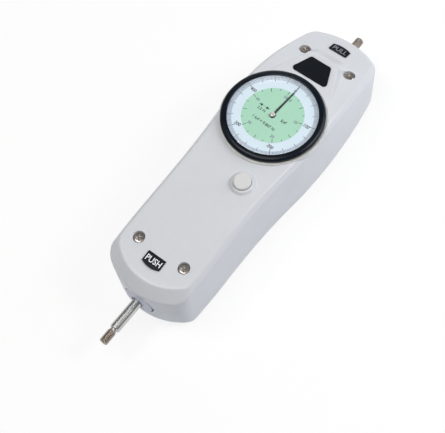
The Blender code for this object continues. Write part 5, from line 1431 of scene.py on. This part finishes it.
def return_spring():
    """The button's spring: a round wire along a helix."""
    low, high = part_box("button_spring")
    coil = (high.x - low.x) / 2 - SPRING_WIRE
    rows = SPRING_STEPS * SPRING_TURNS + 1
    sides = 12
    turn = np.linspace(0, 2 * PI * SPRING_TURNS, rows)[:, None]
    rise = np.linspace(low.z + SPRING_WIRE, high.z - SPRING_WIRE, rows)[:, None]
    around_wire = turns(sides)[None]
    reach = coil + SPRING_WIRE * np.cos(around_wire)
    height = rise + SPRING_WIRE * np.sin(around_wire)
    x = BUTTON_X + reach * np.cos(turn)
    y = BUTTON_Y + reach * np.sin(turn)
    points = np.stack([x, y, height], -1).reshape(-1, 3)
    end = np.arange(sides)
    faces = [*grid_faces(rows, sides), end, end + (rows - 1) * sides]
    spring = mesh_piece("return_spring", points, faces, STEEL, slot="steel")
    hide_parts("button_spring")
    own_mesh(spring)


def screw_head(name, place):
    """A pan head with a cross recess: height falls with powers of the radius, less the cross.

    The cross is the smaller of two arm distances, passed through a smooth step and faded to its ends.
    """
    low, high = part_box(name)
    radius = 3.25 * MM
    arm_half, arm_edge, arm_reach, arm_fade, depth = 0.52 * MM, 0.26 * MM, 1.9 * MM, 1.3 * MM, 0.85 * MM
    head_bottom = high.z - 1.9 * MM
    sides = 96
    reach = np.concatenate([np.linspace(0, 0.9, 28), np.linspace(0.9, 1, 8)[1:]])[:, None] * radius
    share = reach / radius
    turn = turns(sides)[None]
    x, y = reach * np.cos(turn + 0.5), reach * np.sin(turn + 0.5)
    crown = high.z - 0.25 * MM * share**2 - 0.55 * MM * share**9
    u, v = abs(reach * np.cos(turn)), abs(reach * np.sin(turn))
    edge = np.clip((arm_half - np.minimum(u, v)) / arm_edge, 0, 1)
    end = np.clip((arm_reach - np.maximum(u, v)) / arm_fade, 0, 1)
    cut = depth * (edge * edge * (3 - 2 * edge)) * (end * (2 - end))
    top = np.stack([x, y, crown - cut], -1)
    rim = np.concatenate([top[-1, :, :2], np.full((sides, 1), head_bottom)], 1)
    neck = rim * (0.5, 0.5, 1)
    tip = neck * (1, 1, 0) + (0, 0, low.z + 0.5 * MM)
    point = tip * (0.7, 0.7, 1) - (0, 0, 0.5 * MM)
    grid = np.concatenate([top, [rim, neck, tip, point]])
    points = grid.reshape(-1, 3) + (*place, 0)
    faces = [*grid_faces(len(grid), sides), np.arange(sides) + (len(grid) - 1) * sides]
    head = mesh_piece(name.replace("case_screw", "cross_head_screw"), points, faces, ZINC,
                      smooth_angle=40, slot="yellow_zinc")
    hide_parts(name)


def screws():
    """The four screws, each in the middle of its solid's box."""
    for k in range(1, 5):
        low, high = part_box(f"case_screw_{k}")
        screw_head(f"case_screw_{k}", ((low.x + high.x) / 2, (low.y + high.y) / 2))


def name_plate():
    """The bare black plate behind the dial, with soft upper edges."""
    low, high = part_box("name_plate")
    points, faces = flat_plate(plate_outline(steps=10), high.z - low.z, 0.15 * MM)
    points[:, 2] += (low.z + high.z) / 2
    plate = mesh_piece("bare_name_plate", points, faces, PLATE_BLACK, slot="black_paint")
    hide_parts("name_plate")


def end_label(name, straight_y, reach, side, words, ink, weight):
    """A black label with one edge bowed as a parabola, lying on the sloping face, with raised words."""
    half, bulge, thickness = 6.1 * MM, 1.4 * MM, 0.35 * MM
    share = np.linspace(1, -1, 25)
    bow = np.stack([half * share * side, (reach + bulge * (1 - share**2)) * side], -1)
    outline = np.concatenate([[(-half * side, 0), (half * side, 0)], bow])
    middle = straight_y + side * reach / 2
    slope = float(face_height(middle + reach / 2) - face_height(middle - reach / 2)) / reach
    lean = math.atan(slope)
    place = Matrix.Translation((0, straight_y, float(face_height(straight_y)) + GAP / math.cos(lean)))
    place = np.array(place @ Matrix.Rotation(lean, 4, "X"))

    def laid(points):
        return points @ place[:3, :3].T + place[:3, 3]

    points, faces = flat_plate(outline, thickness, 0.08 * MM)
    points[:, 2] += thickness / 2
    tag = mesh_piece(f"{name}_tag", laid(points), faces, PLATE_BLACK, slot="black_paint")
    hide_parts(name)
    words_y = min(0, side * reach) + reach / 2 + (0.35 * MM if side > 0 else -0.25 * MM)
    points, faces = lettering(words, 3.45 * MM, (0.0, words_y), thickness + 0.015 * MM,
                              thickness=0.05 * MM, weight=weight, wide=0.88)
    mesh_piece(f"{name}_words", laid(points), faces, ink, slot="button_white")


# Floor, light and camera

def floor():
    """A wide floor: seen directly it is mostly white of its own near the object and wholly so far off,
    and the rest of it is matt and takes the shadow; other light meets a pale matt floor.
    """
    made = bpy.data.materials.new("studio_floor")
    made.use_nodes = True
    tree = made.node_tree
    tree.nodes.clear()
    matt = node(tree, "ShaderNodeBsdfDiffuse", {"Color": FULL_WHITE}).outputs[0]
    pale = node(tree, "ShaderNodeBsdfDiffuse", {"Color": FLOOR_TINT}).outputs[0]
    glow = node(tree, "ShaderNodeEmission", {"Color": FULL_WHITE, "Strength": 1.0}).outputs[0]
    path = node(tree, "ShaderNodeLightPath").outputs
    seen = maths(tree, "MAXIMUM", path["Is Camera Ray"], path["Is Glossy Ray"])
    seen = maths(tree, "MAXIMUM", seen, path["Is Transmission Ray"])
    place = node(tree, "ShaderNodeTexCoord").outputs["Object"]
    reach = node(tree, "ShaderNodeVectorMath", {0: place}, operation="LENGTH").outputs["Value"]
    far = mapped(tree, reach, FLOOR_FADE, (FLOOR_GLOW, 1.0), interpolation_type="SMOOTHSTEP")
    white = node(tree, "ShaderNodeMixShader", {0: far, 1: matt, 2: glow}).outputs[0]
    mixed = node(tree, "ShaderNodeMixShader", {0: seen, 1: pale, 2: white}).outputs[0]
    leave = node(tree, "ShaderNodeOutputMaterial", {"Surface": mixed})
    leave.is_active_output = True
    mesh = bpy.data.meshes.new("studio_floor")
    corners = [(x * FLOOR_HALF, y * FLOOR_HALF, cad_low.z - FLOOR_DROP)
               for x, y in ((-1, -1), (1, -1), (1, 1), (-1, 1))]
    mesh.from_pydata(corners, [], [(0, 1, 2, 3)])
    mesh.materials.append(made)
    placed("studio_floor", mesh)


def studio_light():
    """An even pale room with five soft lamps; its backdrop is white where it is seen, and metal and
    glass mirror that white up to a low height above the horizon.
    """
    world = bpy.data.worlds.new("studio")
    world.use_nodes = True
    tree = world.node_tree
    tree.nodes.clear()
    path = node(tree, "ShaderNodeLightPath").outputs
    way = node(tree, "ShaderNodeTexCoord").outputs["Generated"]
    rise = node(tree, "ShaderNodeSeparateXYZ", {0: way}).outputs[2]
    low = mapped(tree, rise, (BACKDROP_FULL, BACKDROP_GONE), (1.0, 0.0), interpolation_type="SMOOTHSTEP")
    mirrored = maths(tree, "MULTIPLY", path["Is Glossy Ray"], low)
    seen = maths(tree, "MAXIMUM", path["Is Camera Ray"], path["Is Transmission Ray"])
    seen = maths(tree, "MAXIMUM", seen, mirrored)
    room = node(tree, "ShaderNodeBackground", {"Color": ROOM_TINT, "Strength": ROOM_LIGHT}).outputs[0]
    white = node(tree, "ShaderNodeBackground", {"Color": FULL_WHITE, "Strength": 1.0}).outputs[0]
    mixed = node(tree, "ShaderNodeMixShader", {0: seen, 1: room, 2: white}).outputs[0]
    node(tree, "ShaderNodeOutputWorld", {"Surface": mixed})
    bpy.context.scene.world = world
    for name, place, power, size, colour in LAMPS:
        lamp = bpy.data.lights.new(name, "AREA")
        lamp.shape = "DISK"
        lamp.size = size
        lamp.energy = power
        lamp.color = colour
        thing = placed(name, lamp)
        away = Vector(place) - Vector(LAMP_AIM)
        thing.location = place
        thing.rotation_euler = away.to_track_quat("Z", "Y").to_euler()


def photo_camera():
    """The camera at the photograph's place; its axes are right, up and back."""
    right = Vector(CAMERA_RIGHT).normalized()
    up = Vector(CAMERA_UP).normalized()
    back = right.cross(up).normalized()
    up = back.cross(right).normalized()
    data = bpy.data.cameras.new("photo_camera")
    data.lens = CAMERA_LENS
    data.sensor_width = CAMERA_SENSOR
    data.clip_start = 0.01
    thing = placed("photo_camera", data)
    turn = Matrix((right, up, back)).transposed().to_4x4()
    thing.matrix_world = Matrix.Translation(CAMERA_PLACE) @ turn
    bpy.context.scene.camera = thing


dress_frame()
front_case(PAINT)
rear_case(PAINT)
bezel_ring()
window()
tinted_rings()
dial_scales()
dial_numbers()
pointer()
pointer_hub()
seat_ring()
measuring_rod()
bearings()
button()
return_spring()
screws()
name_plate()
end_label("push_label", -79.5 * MM, 6.6 * MM, -1, "PUSH", WHITE, 0.02)
end_label("pull_label", 87.0 * MM, 5.4 * MM, 1, "PULL", LAVENDER, 0.0)
floor()
studio_light()
photo_camera()
bpy.context.scene.view_settings.view_transform = "Standard"
